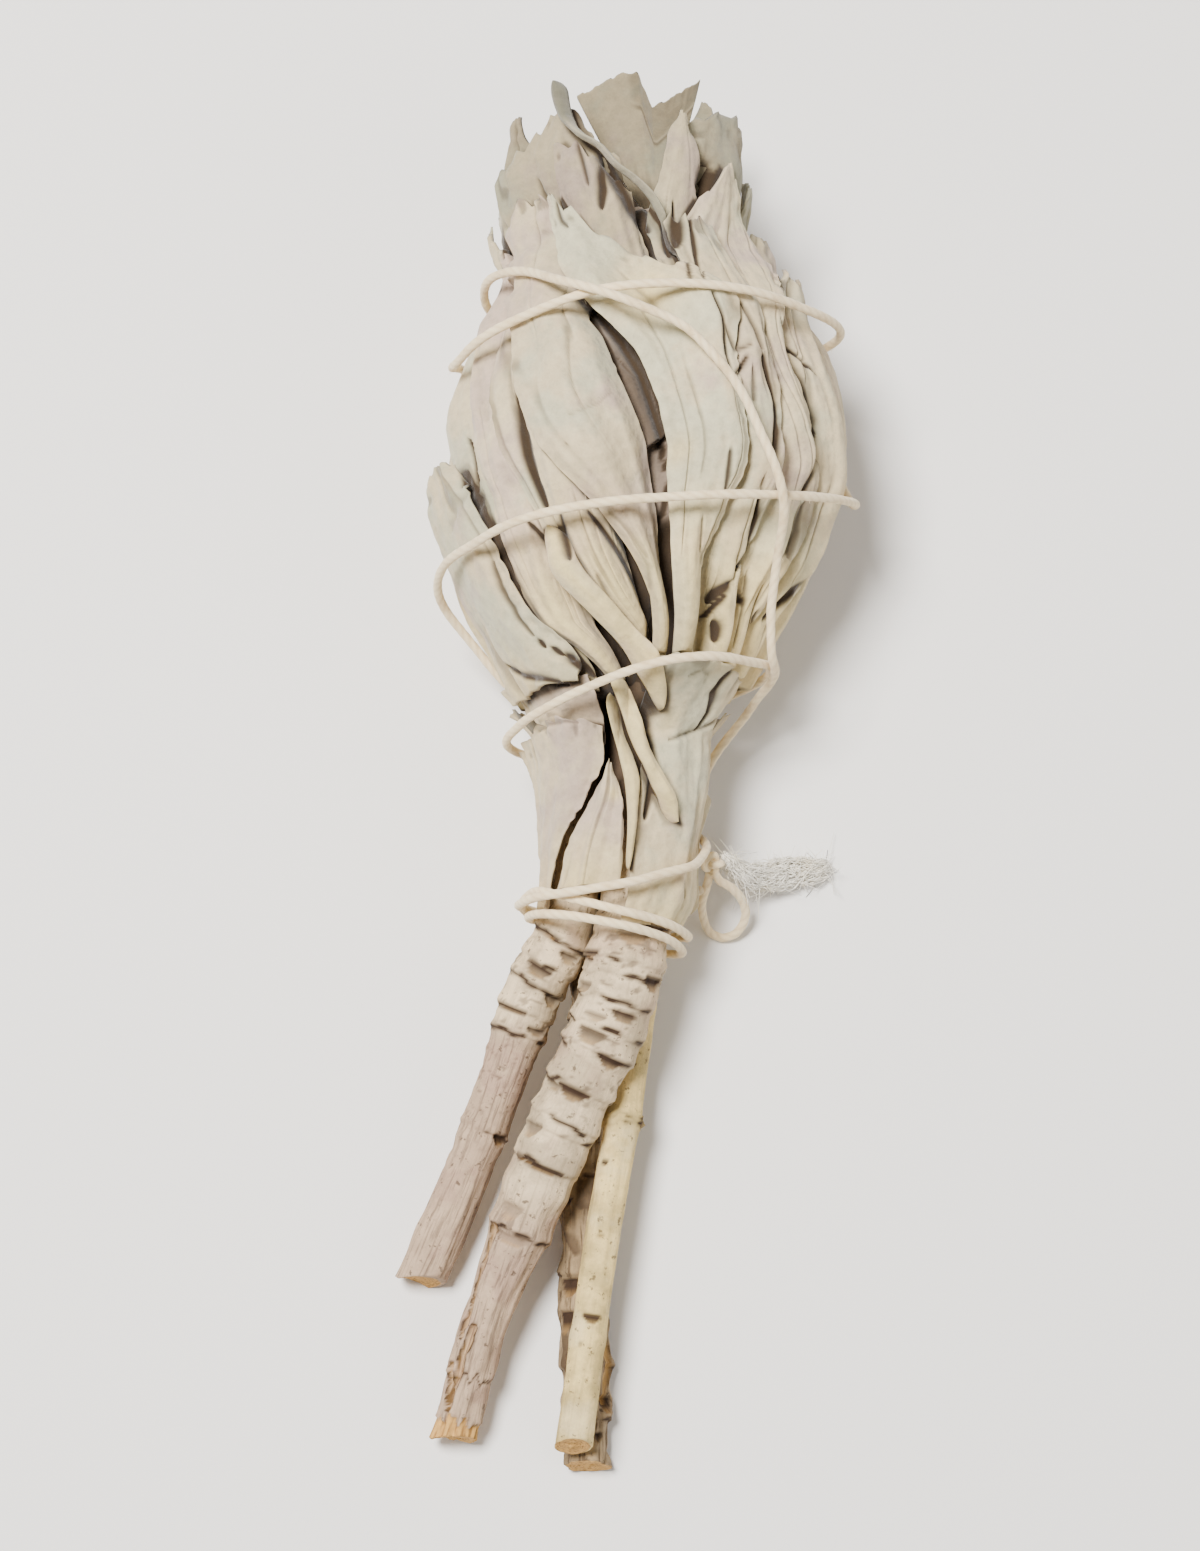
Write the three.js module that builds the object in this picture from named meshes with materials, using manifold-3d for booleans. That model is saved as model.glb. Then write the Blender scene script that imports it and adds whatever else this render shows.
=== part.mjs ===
// A bunch of dried white sage: four woody shoots whose long felted leaves are pressed together into a head
// and bound with cotton twine, lying on a surface. Millimetres, +Z up, +Y towards the leafy head, +X to the
// right seen from above.
//
// The leaves are laid on one another as they are in the hand, from the inside out. A pile keeps the height
// of what has been laid so far, over a grid of stations along the bunch (y) and turns round it (phi), and
// each new leaf lies on a smoothed copy of that height. Leaves therefore nest, bridge the edges beneath
// them, and never cross.
import * as THREE from "three";
import { mergeVertices } from "three/addons/utils/BufferGeometryUtils.js";
import Module from "manifold-3d";

const wasm = await Module();
wasm.setup();

// -------------------------------------------------------------------------------------- driving dimensions
const BLADE = 0.65; // thickness of a leaf blade
const CLEARANCE = 0.35; // air between a leaf and what it lies on
const HEAD_Y = 42; // station of the fattest part of the head
const HEAD_AXIS_HEIGHT = 24.6; // height of the bunch's axis there
const AXIS_RISE = 0.14; // the axis climbs this much per millimetre towards the head
const TWINE_RADIUS = 0.65;
const TWINE_SQUEEZE = 0.8; // how far the twine pulls the leaves in
const TWINE_SQUEEZE_REACH = 7; // and over what distance along the bunch

// The bunch's outline: [station, value].
const centreX = through([
  [-45, -2], [-28, 0.6], [-21, 2.2], [-14, 2.7], [0, 3.2], [14, 3.4], [27, 4.5], [41, 6.3], [55, 6.7],
  [62, 5.6], [68, 4.2], [78, 3.8], [98, 5],
]);
const halfWidth = through([
  [-45, 9], [-28, 9.8], [-21, 10.8], [-14, 11.3], [-7, 12], [0, 13.2], [6, 15.6], [13, 20.1], [20, 24.4],
  [27, 27], [34, 27.7], [41, 27.6], [48, 26.7], [54, 25], [61, 20.5], [65, 18.4], [70, 17.9], [76, 17.5],
  [82, 16], [98, 15],
]);
const roundness = through([[-20, 1], [5, 0.95], [35, 0.88], [60, 0.9], [90, 0.9]]); // height over width
const axisHeight = (y) => HEAD_AXIS_HEIGHT + AXIS_RISE * (y - HEAD_Y);

// ------------------------------------------------------------------------------------------------- helpers
// A smooth curve through [x, y] points that doesn't overshoot them, flat past both ends (monotone cubic).
function through(points) {
  const x = points.map((p) => p[0]);
  const y = points.map((p) => p[1]);
  const last = x.length - 1;
  const rise = x.slice(1).map((xi, i) => (y[i + 1] - y[i]) / (xi - x[i]));
  const slope = x.map((_, i) => {
    if (i === 0 || i === last || rise[i - 1] * rise[i] <= 0) return 0;
    return (2 * rise[i - 1] * rise[i]) / (rise[i - 1] + rise[i]);
  });
  slope[0] = rise[0];
  slope[last] = rise[last - 1];
  return (at) => {
    if (at <= x[0]) return y[0];
    if (at >= x[last]) return y[last];
    let i = 0;
    while (at > x[i + 1]) i++;
    const w = x[i + 1] - x[i];
    const t = (at - x[i]) / w;
    const s = 1 - t;
    const bend = w * t * s * (slope[i] * s - slope[i + 1] * t);
    return y[i] * (1 + 2 * t) * s * s + y[i + 1] * (1 + 2 * s) * t * t + bend;
  };
}

// A repeatable stream of random numbers from 0 to 1 (mulberry32).
function seeded(seed) {
  let state = seed >>> 0;
  return () => {
    state = (state + 0x6d2b79f5) >>> 0;
    let t = state;
    t = Math.imul(t ^ (t >>> 15), t | 1);
    t ^= t + Math.imul(t ^ (t >>> 7), t | 61);
    return ((t ^ (t >>> 14)) >>> 0) / 4294967296;
  };
}

const radians = (degrees) => (degrees * Math.PI) / 180;
const clamp = (value, low, high) => Math.min(high, Math.max(low, value));
const ease = (from, to, at) => {
  const t = clamp((at - from) / (to - from), 0, 1);
  return t * t * (3 - 2 * t);
};
// The turn from one angle to another, from -180 to 180 degrees.
const turnBetween = (from, to) => ((((to - from + 180) % 360) + 360) % 360) - 180;
// Millimetres round the bunch for one degree, at a station.
const arcPerDegree = (y) => radians(halfWidth(y));

// ------------------------------------------------------------------------------------------------ the pile
const LOWEST_Y = -33;
const ROW_STEP = 1.5;
const ROWS = 91;
const COLUMNS = 120; // every 3 degrees
const COLUMN_STEP = 360 / COLUMNS;

const cell = (row, column) => clamp(row, 0, ROWS - 1) * COLUMNS + ((column % COLUMNS) + COLUMNS) % COLUMNS;

// Value of a field between its cells.
function sample(field, y, phi) {
  const r = clamp((y - LOWEST_Y) / ROW_STEP, 0, ROWS - 1.001);
  const c = ((((phi % 360) + 360) % 360) / COLUMN_STEP) % COLUMNS;
  const [row, column] = [Math.floor(r), Math.floor(c)];
  const [fr, fc] = [r - row, c - column];
  const across = (n) => field[cell(n, column)] * (1 - fc) + field[cell(n, column + 1)] * fc;
  return across(row) * (1 - fr) + across(row + 1) * fr;
}

// One pass of a running filter along rows or columns.
function sweep(field, reach, alongRows, combine) {
  const out = new Float64Array(field.length);
  for (let row = 0; row < ROWS; row++)
    for (let column = 0; column < COLUMNS; column++) {
      const near = [];
      for (let k = -reach; k <= reach; k++)
        near.push(field[alongRows ? cell(row + k, column) : cell(row, column + k)]);
      out[cell(row, column)] = combine(near);
    }
  return out;
}

const highest = (values) => Math.max(...values);
const mean = (values) => values.reduce((a, b) => a + b, 0) / values.length;

// The smooth surface that a new leaf lies on: nowhere below the pile.
function drape(field, reach) {
  const raised = sweep(sweep(field, reach, true, highest), reach, false, highest);
  return sweep(sweep(raised, reach, true, mean), reach, false, mean);
}

// ---------------------------------------------------------------------------------------------- the leaves
// base: the station of the cut of the stalk. top: the stations of the trimmed tip, from the right edge to
// the left one seen from above. edges: rows of [station, angle of the right edge, angle of the left edge].
// stalk: the station where the stalk has flattened into the blade. puff: how far the blade bulges, flare:
// how far the tip turns out. teeth: depth and number of the notches of the trimmed tip. drape: over how
// many cells of the pile it bridges a step beneath it. mesh: segments along and across.
const leaf = (name, base, top, edges, options = {}) => ({
  name, base, top, edges, stalk: base + 10, puff: 1, flare: 0, teeth: [0.8, 4], thick: 1.8, drape: 2,
  mesh: [11, 4], seed: 1, ...options,
});
// A leaf whose middle runs straight up the head at one angle, wide in degrees at the belly.
const strip = (name, base, tip, phi, wide, options = {}) =>
  leaf(name, base, [tip - 1.5, tip + 0.5, tip, tip - 2], [
    [base, phi - wide * 0.24, phi + wide * 0.24], [base + 8, phi - wide * 0.3, phi + wide * 0.32],
    [base + 18, phi - wide * 0.72, phi + wide * 0.7], [base + 32, phi - wide, phi + wide * 0.95],
    [tip - 16, phi - wide * 0.95, phi + wide], [tip, phi - wide * 0.8, phi + wide * 0.85],
  ], options);

const LEAVES = [
  // The small leaves that stand highest, in the middle of the tuft.
  leaf("tuft_leaf_1", 46, [77, 83, 87, 85], [[46, 240, 288], [70, 236, 293], [86, 238, 290]],
    { seed: 11, stalk: 48, teeth: [0.6, 3], mesh: [9, 5] }),
  leaf("tuft_leaf_2", 46, [86, 89, 90, 87], [[46, 296, 336], [70, 292, 338], [86, 286, 322],
    [90, 288, 318]], { seed: 12, stalk: 48, teeth: [0.4, 3], mesh: [9, 4] }),
  leaf("tuft_leaf_3", 46, [82, 84, 83, 80], [[46, 20, 80], [70, 12, 72], [84, 10, 60]],
    { seed: 13, stalk: 48, mesh: [7, 4] }),
  leaf("tuft_leaf_4", 46, [76, 78, 80, 79], [[46, 96, 150], [70, 92, 152], [80, 96, 148]],
    { seed: 14, stalk: 48, mesh: [7, 4] }),
  leaf("tuft_leaf_5", 46, [82, 83, 82, 79], [[46, 166, 222], [70, 166, 224], [83, 172, 214]],
    { seed: 15, stalk: 48, mesh: [7, 4] }),
  // The leaves round them.
  leaf("ring_leaf_1", 38, [90, 94.2, 90.5, 86], [[38, 302, 354], [62, 296, 350], [80, 300, 325],
    [90, 303, 319]], { seed: 21, stalk: 42, teeth: [0.7, 3], mesh: [9, 4] }),
  leaf("ring_leaf_2", 38, [82, 84, 82, 78], [[38, 240, 300], [62, 240, 298], [84, 246, 292]],
    { seed: 22, stalk: 42, mesh: [9, 4] }),
  leaf("ring_leaf_3", 38, [79, 82, 83, 80], [[38, 190, 246], [62, 188, 246], [83, 196, 238]],
    { seed: 23, stalk: 42, mesh: [9, 4] }),
  leaf("ring_leaf_4", 38, [76, 78, 77, 74], [[38, -22, 32], [62, -24, 26], [72, -22, 18], [78, -14, 8]],
    { seed: 24, stalk: 42, teeth: [0.6, 3], mesh: [9, 4] }),
  leaf("rolled_leaf", 52, [81, 84.8, 84.8, 81.5], [[52, 158, 188], [66, 156, 184], [76, 154, 175],
    [85, 158, 166]], { seed: 25, stalk: 54, puff: 2.2, teeth: [0, 1], mesh: [7, 4] }),
  leaf("ring_leaf_5", 38, [77.5, 84, 80, 76], [[38, 118, 170], [62, 112, 170], [76, 104, 166],
    [83, 106, 158]], { seed: 26, stalk: 42, teeth: [0.9, 7], mesh: [10, 5] }),
  leaf("ring_leaf_6", 38, [71, 74, 77, 78], [[38, 80, 132], [62, 84, 126], [78, 92, 124]],
    { seed: 27, stalk: 42, mesh: [9, 4] }),
  leaf("folded_tip", 42, [78, 81.6, 81.8, 79], [[42, 44, 84], [66, 48, 82], [70, 52, 79], [73, 54, 75],
    [78, 58.5, 71.5], [81.8, 62.5, 67.5]], { seed: 28, stalk: 46, teeth: [0, 1], mesh: [9, 4] }),
  leaf("rolled_stalk", 60, [86, 86, 86, 86], [[60, 67, 76], [65.3, 71, 77.5], [67.5, 74.5, 80.5],
    [69.3, 78, 84], [71.3, 84, 90.5], [73.2, 92, 98], [75.6, 98, 104], [77.3, 105, 111.5],
    [81, 113.5, 121], [86, 118.5, 128.5]],
    { seed: 29, stalk: 120, puff: 0, teeth: [0, 1], thick: 2.2, mesh: [10, 2] }),
  // The outer leaves of the underside.
  strip("under_leaf_1", 6.2, 70, 214, 23, { seed: 31 }),
  strip("under_leaf_2", 5.8, 73, 258, 23, { seed: 32 }),
  strip("under_leaf_3", 6.4, 71, 302, 23, { seed: 33 }),
  strip("under_leaf_4", 6.6, 66, 343, 20, { seed: 34 }),
  strip("under_leaf_5", 5.6, 74, 196, 20, { seed: 35 }),
  strip("under_leaf_6", 6, 69, 236, 23, { seed: 36 }),
  strip("under_leaf_7", 6.4, 72, 280, 23, { seed: 37 }),
  strip("under_leaf_8", 6.2, 68, 323, 22, { seed: 38 }),
  // The left side.
  leaf("left_leaf_1", 5, [65, 67, 70, 72], [[5, 109, 122], [8, 112, 128], [13, 120, 146], [21, 126, 158],
    [30, 132, 170], [38, 140, 178], [46, 148, 186], [54, 156, 190], [62, 162, 192], [72, 166, 190]],
    { seed: 41, mesh: [16, 6] }),
  leaf("left_leaf_2", 6.6, [62, 64, 66, 66], [[6.6, 89, 102], [10, 98, 116], [13, 106, 129],
    [21, 112, 136], [29, 114, 142], [36, 120, 150], [44, 128, 158], [52, 138, 164], [59, 146, 168],
    [66, 150, 170]], { seed: 42 }),
  leaf("left_leaf_3", 10, [60, 62, 63, 62], [[10, 82, 92], [15, 94, 109], [21, 100, 118], [28, 102, 125],
    [35, 106, 133], [43, 112, 142], [50, 122, 147], [57, 128, 149], [63, 134, 150]], { seed: 43 }),
  leaf("left_leaf_4", 9, [57, 58, 58, 56], [[9, 69, 80], [15, 83, 100], [22, 92, 112], [28, 97, 117],
    [34, 101, 121], [41, 107, 128], [49, 116, 134], [58, 126, 142]], { seed: 44 }),
  // The right side.
  leaf("right_leaf_1", 8, [64, 67, 70, 70], [[8, -12, 4], [16, -15, 13], [26, -18, 16], [36, -18, 17],
    [46, -14, 22], [56, -16, 18], [64, -26, 10], [70, -32, 2]], { seed: 46 }),
  leaf("right_leaf_2", 8.2, [62, 62, 61, 58], [[8, 10, 22], [15, 10, 34], [24, 4, 34], [33, 4, 34],
    [42, 10, 42], [50, 14, 44], [56, 12, 42], [62.5, 6, 34]], { seed: 47, teeth: [1.6, 3], flare: 2.2 }),
  leaf("right_leaf_3", 8.4, [73, 76, 75.4, 70], [[8, 26, 38], [12, 28, 46], [18, 27, 48], [25, 24, 48],
    [33, 25, 50], [39, 32, 56], [45, 38, 62], [52, 40, 66], [60, 32, 71], [64, 26, 73], [68, 23, 64],
    [72, 27, 55], [76, 34, 48]], { seed: 48, teeth: [0.3, 3], mesh: [12, 4] }),
  leaf("right_leaf_4", 8.4, [64, 66, 66, 66], [[8, 39, 48], [15, 43, 56], [21, 46, 60], [26, 45, 62],
    [32, 44, 62], [39, 48, 66], [47, 52, 69], [54, 53, 72], [60, 54, 76], [66, 56, 78]], { seed: 49 }),
  // The two broad leaves in front, with a gap like an eye between them.
  leaf("front_left_leaf", 8.6, [63, 70, 71.5, 67], [[8, 68, 76], [13, 72, 79], [17, 76, 83.5],
    [25, 81, 99], [30.5, 85, 111], [36, 90, 120.5], [41.5, 97, 126.5], [48, 104, 131.5], [54.5, 113, 138],
    [61, 112, 150], [71, 112, 160]], { seed: 45, teeth: [1.2, 4], stalk: 18, mesh: [14, 5] }),
  leaf("front_right_leaf", 8.6, [57, 61, 66.5, 71.5], [[8, 58, 66], [13, 61, 69.5], [18, 62.5, 72.5],
    [27, 60, 76], [33, 58.5, 79], [40, 62, 86], [46.5, 64, 94], [53.5, 63, 109.5], [60, 74, 121],
    [71, 92, 128]], { seed: 50, teeth: [1.1, 5], stalk: 20, mesh: [14, 5] }),
  leaf("left_collar_leaf", -2, [6.4, 7, 7, 6.4], [[-2, 106, 192], [3, 108, 190], [7, 112, 188]],
    { seed: 52, teeth: [0, 1], stalk: -4, puff: 0.5, mesh: [5, 5] }),
  leaf("left_flank_leaf", 5.4, [36, 36, 34, 28], [[5.4, 115, 184], [8, 113, 186], [14, 128, 186],
    [21, 137, 188], [29, 147, 188], [36, 160, 182]], { seed: 51, teeth: [0, 1], stalk: 2, mesh: [8, 6] }),
  // The neck.
  leaf("neck_leaf_1", -22, [5, 5.4, 5, 4.6], [[-22, 196, 240], [-8, 194, 240], [6, 192, 240]],
    { stalk: -23, puff: 0.4, seed: 61, mesh: [6, 4] }),
  leaf("neck_leaf_2", -22, [5, 5.4, 5.4, 5], [[-22, 298, 346], [-8, 292, 346], [6, 290, 344]],
    { stalk: -23, puff: 0.4, seed: 62, mesh: [6, 4] }),
  leaf("neck_leaf_3", -21, [4.6, 5.2, 5, 4.4], [[-21, 246, 292], [-8, 246, 290], [6, 246, 290]],
    { stalk: -23, puff: 0.4, seed: 63, mesh: [6, 4] }),
  leaf("neck_leaf_4", -21, [-8, -5, -4.6, -7], [[-21, 87, 126], [-17, 87, 121], [-12, 88, 116],
    [-9.5, 89, 111], [-4.8, 97, 102]], { stalk: -23, puff: 0.4, seed: 64, teeth: [0, 1], mesh: [5, 3] }),
  leaf("neck_leaf_5", -23, [0.4, 0.8, 0.4, 0], [[-23, 154, 196], [-18, 147, 196], [-14, 136, 196],
    [-10, 118, 196], [-5, 105, 194], [0.8, 104, 192]],
    { stalk: -24, puff: 0.5, seed: 65, teeth: [0, 1], mesh: [7, 5] }),
  leaf("neck_leaf_6", -25.9, [6.4, 7.4, 7.8, 7.6], [[-25.9, -6, 80], [-18, -14, 80.5], [-13.5, -14, 78],
    [-8.5, -12, 76], [-2, -4, 74], [4, 6, 76], [8, 14, 76]],
    { stalk: -27, puff: 0.6, seed: 66, teeth: [0, 1], mesh: [8, 6] }),
  leaf("leaf_stalk_1", -19, [4.2, 4.2, 4.2, 4.2], [[-19, 79.5, 85], [-12, 79, 86], [-8, 78, 88],
    [-4, 82, 93], [-0.5, 90, 98], [4.5, 96, 103]],
    { stalk: 90, puff: 0, drape: 1, seed: 68, teeth: [0, 1], thick: 1.6, mesh: [8, 2] }),
  leaf("leaf_stalk_2", -10, [6.4, 6.4, 6.4, 6.4], [[-10, 50, 63], [-8.2, 58, 69.5], [-4, 69, 81],
    [1.5, 80.5, 91.5], [6, 88, 99.5]],
    { stalk: 90, puff: 0, drape: 1, seed: 67, teeth: [0, 1], thick: 2, mesh: [7, 2] }),
  leaf("leaf_stalk_3", 2, [24, 24, 24, 24], [[2, 60, 74], [5, 69, 84], [8.5, 78, 92], [13, 92, 104],
    [18, 104, 115], [24, 112, 120]],
    { stalk: 90, puff: 0, drape: 1, seed: 69, teeth: [0, 1], thick: 2, mesh: [8, 2] }),
];

// Adds to a leaf the functions that its shape comes from. Their arguments are u, from -1 at the right edge
// to 1 at the left one, and v, from 0 at the stalk to 1 at the tip.
function shaped(spec) {
  const right = through(spec.edges.map((row) => [row[0], row[1]]));
  const left = through(spec.edges.map((row) => [row[0], row[2]]));
  const top = through(spec.top.map((y, i) => [-1 + (2 * i) / 3, y]));
  const [toothDepth, toothCount] = spec.teeth;
  const shift = seeded(spec.seed)();
  // The trimmed edge: saw teeth of uneven depth.
  const tooth = (u) => {
    const at = ((u + 1) / 2) * toothCount + shift;
    return toothDepth * (Math.abs((at % 1) * 2 - 1) * 2 - 1) * (0.7 + 0.3 * Math.sin(4 * u + spec.seed));
  };
  const tipAt = (u) => top(u) + tooth(u);
  const yAt = (u, v) => spec.base + (top(u) - spec.base) * v + tooth(u) * Math.pow(v, 8);
  const middle = (y) => (right(y) + left(y)) / 2;
  const half = (y) => (left(y) - right(y)) / 2;
  const phiAt = (u, y) => middle(y) + u * half(y);
  const bulge = (v) => Math.sqrt(Math.sin(Math.PI * (clamp(v, 0, 1) * 0.9 + 0.05)));
  const crown = (u, v) => spec.puff * (1 - u * u) * bulge(v) + spec.flare * ease(0.86, 1, v);
  const stalkiness = (y) => 1 - ease(spec.stalk - 8, spec.stalk, y);
  const thickness = (u, y) => BLADE + (spec.thick - BLADE) * stalkiness(y) * (1 - 0.6 * u * u);
  return { ...spec, tipAt, yAt, middle, half, phiAt, crown, thickness };
}

// Lays a leaf on the pile: keeps the surface that it lies on, and raises the pile by the leaf.
function lay(pile, spec) {
  const l = shaped(spec);
  l.bed = drape(pile, spec.drape);
  for (let row = 0; row < ROWS; row++) {
    const y = LOWEST_Y + row * ROW_STEP;
    if (y < l.base - ROW_STEP) continue;
    for (let column = 0; column < COLUMNS; column++) {
      const away = turnBetween(l.middle(y), column * COLUMN_STEP);
      if (Math.abs(away) > l.half(y) + COLUMN_STEP) continue;
      const u = clamp(away / l.half(y), -1, 1);
      if (y > l.tipAt(u) + ROW_STEP) continue;
      const v = (y - l.base) / (l.tipAt(u) - l.base);
      const i = cell(row, column);
      pile[i] = Math.max(pile[i], l.bed[i] + CLEARANCE + l.crown(u, v) + l.thickness(u, y));
    }
  }
  return l;
}

const pile = new Float64Array(ROWS * COLUMNS);
const leaves = LEAVES.map((spec) => lay(pile, spec));

// --------------------------------------------------------------------------------------- the twine's route
// The binding, from the knot beside the neck and back to it: [degrees turned, station]. Angles run
// clockwise seen from the head, so 90 degrees turned from the knot is the underside, 180 the left, 270 the
// top and 360 the right again.
const TWINE_TURNS = [
  // three turns round the neck
  [10, -18.8], [90, -22], [188, -23.6], [236, -24.9], [253, -25.5], [275, -26.5], [296, -27], [326, -27.6],
  [364, -28.2], [400, -27.2], [450, -24.8], [520, -21.8], [554, -20.6], [595, -22.6], [623, -24.1],
  [639, -25], [663, -25.4], [695, -26], [715, -26.2], [760, -24.8], [810, -22.4], [880, -21.4],
  [914, -22.2], [955, -22.4], [980, -22], [998, -21.4], [1018, -19.8], [1055, -17.3], [1084, -14],
  // across the top of the neck
  [1110, -11], [1170, -4], [1230, 0], [1262, 0.8], [1277, 1.2], [1300, 1.5], [1319, 2.8], [1340, 4.2],
  [1354, 5.3], [1368, 6.6], [1377, 7.2], [1388, 7.8], [1401, 8.2], [1418, 9], [1436, 10.2], [1446, 10.4],
  // round behind, up the left flank and across the belly
  [1500, 8.4], [1570, 6.2], [1600, 6.2], [1611, 8.6], [1618, 12], [1624, 16.8], [1633, 21], [1639, 22.2],
  [1657, 22.8], [1677, 23.6], [1686, 24.2], [1699, 25], [1712, 25.8], [1728, 26.6], [1744, 27.6],
  [1765, 29.4], [1793, 33], [1802, 36],
  // round behind and across the head below its tips
  [1815, 42], [1838, 49], [1868, 53.6], [1920, 55], [1970, 53], [2000, 49.6], [2012, 50.2], [2032, 51.8],
  [2047, 53], [2059, 54], [2073, 54.8], [2084, 55], [2099, 55], [2119, 55], [2150, 55.6],
  // round behind, slanting down across the front, and down the right of the neck to the knot
  [2210, 57.4], [2280, 60.4], [2340, 61], [2360, 61], [2375, 60.5], [2384, 59.8], [2391, 58.8],
  [2406, 55.2], [2416, 53.2], [2423, 51.9], [2431, 50.5], [2439, 49], [2444, 46.6], [2449, 44],
  [2456, 39.6], [2461, 35], [2466, 30.6], [2469, 28], [2475, 23.8], [2482, 18.4], [2486, 13.6], [2491, 9.4],
  [2512, 7.8], [2538, 5], [2552, 0], [2557, -5], [2560, -10], [2561, -12],
];
const TWINE_TAIL = [[-13.2, -34], [-13.9, -27]]; // it comes up to the knot through these: [station, turn]
const twineStation = through(TWINE_TURNS);
const TWINE_END = TWINE_TURNS[TWINE_TURNS.length - 1][0];

// How far the twine pulls the leaves in at a place: the deepest of the turns that pass it.
function squeeze(y, phi) {
  let nearest = Infinity;
  for (let turned = (((-phi % 360) + 360) % 360); turned <= TWINE_END; turned += 360) {
    const steepness = (twineStation(turned + 2) - twineStation(turned - 2)) / (4 * arcPerDegree(y));
    nearest = Math.min(nearest, Math.abs(y - twineStation(turned)) / Math.hypot(1, steepness));
  }
  return TWINE_SQUEEZE * Math.exp(-((nearest / TWINE_SQUEEZE_REACH) ** 2));
}

// --------------------------------------------------------------------------------- from pile to real place
// The pile's height, smoothed over a wide stretch. A height over the pile's floor less this is a height
// over the bunch's outline, so that the outermost leaves follow the outline however many leaves lie under
// them.
const settled = [0, 1].reduce((field) => sweep(sweep(field, 5, true, mean), 6, false, mean), pile);

// The flattening of everything above a place, so that the head rests on a flat spot.
function pressed(y, phi) {
  const down = -Math.sin(radians(phi));
  if (down < 0.2) return 0;
  const outside = sample(pile, y, phi) - sample(settled, y, phi) - squeeze(y, phi);
  return Math.max(0, halfWidth(y) * roundness(y) + outside - axisHeight(y) / down);
}

// The point at a height over the pile's floor, at a station and an angle (0 right, 90 up, 180 left, 270
// down).
function place(y, phi, height) {
  const out = height - sample(settled, y, phi) - squeeze(y, phi) - pressed(y, phi);
  const a = radians(phi);
  return new THREE.Vector3(
    centreX(y) + (halfWidth(y) + out) * Math.cos(a),
    y,
    axisHeight(y) + (halfWidth(y) * roundness(y) + out) * Math.sin(a),
  );
}

// -------------------------------------------------------------------------------------------- solid making
// A closed geometry from vertices and faces.
function geometryOf(vertices, faces) {
  const geometry = new THREE.BufferGeometry().setFromPoints(vertices);
  geometry.setIndex(faces);
  return geometry;
}

// A slab between two grids of points, grid[i][j], with its rim closed. The outer grid faces the way that
// turns i to j counterclockwise, and both faces are split into triangles alike.
function slab(outer, innerFace) {
  const rows = outer.length;
  const columns = outer[0].length;
  const vertices = [...outer.flat(), ...innerFace.flat()];
  const top = (i, j) => i * columns + j;
  const under = (i, j) => rows * columns + top(i, j);
  const faces = [];
  for (let i = 0; i < rows - 1; i++)
    for (let j = 0; j < columns - 1; j++) {
      faces.push(top(i, j), top(i + 1, j), top(i + 1, j + 1), top(i, j), top(i + 1, j + 1), top(i, j + 1));
      faces.push(under(i, j), under(i + 1, j + 1), under(i + 1, j));
      faces.push(under(i, j), under(i, j + 1), under(i + 1, j + 1));
    }
  const rim = [];
  for (let j = 0; j < columns; j++) rim.push([0, j]);
  for (let i = 1; i < rows; i++) rim.push([i, columns - 1]);
  for (let j = columns - 2; j >= 0; j--) rim.push([rows - 1, j]);
  for (let i = rows - 2; i > 0; i--) rim.push([i, 0]);
  rim.forEach((from, k) => {
    const to = rim[(k + 1) % rim.length];
    faces.push(top(...from), under(...to), under(...from), top(...from), top(...to), under(...to));
  });
  return geometryOf(vertices, faces);
}

// A closed body through rings of points of one count, with a flat fan at each end.
function loft(rings) {
  const sides = rings[0].length;
  const vertices = rings.flat();
  const faces = [];
  rings.slice(1).forEach((_, i) => {
    for (let j = 0; j < sides; j++) {
      const [a, b] = [i * sides + j, i * sides + ((j + 1) % sides)];
      faces.push(a, b, b + sides, a, b + sides, a + sides);
    }
  });
  const centreOf = (ring) => ring.reduce((sum, p) => sum.add(p), new THREE.Vector3()).divideScalar(sides);
  const first = vertices.push(centreOf(rings[0])) - 1;
  const last = vertices.push(centreOf(rings[rings.length - 1])) - 1;
  const start = (rings.length - 1) * sides;
  for (let j = 0; j < sides; j++) {
    faces.push(first, (j + 1) % sides, j);
    faces.push(last, start + j, start + ((j + 1) % sides));
  }
  return geometryOf(vertices, faces);
}

function solidFrom(geometry) {
  const bare = geometry.clone();
  bare.deleteAttribute("normal");
  bare.deleteAttribute("uv");
  const merged = mergeVertices(bare, 1e-4);
  return new wasm.Manifold(
    new wasm.Mesh({
      numProp: 3,
      vertProperties: merged.attributes.position.array,
      triVerts: new Uint32Array(merged.index.array),
    }),
  );
}

// The largest body of a solid, so that a loose scrap left by a cut is dropped.
function geometryFrom(solid) {
  const bodies = solid.decompose().sort((a, b) => b.volume() - a.volume());
  const mesh = bodies[0].getMesh();
  const geometry = new THREE.BufferGeometry();
  geometry.setAttribute("position", new THREE.BufferAttribute(mesh.vertProperties, mesh.numProp));
  geometry.setIndex(new THREE.BufferAttribute(mesh.triVerts, 1));
  return geometry;
}

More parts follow.
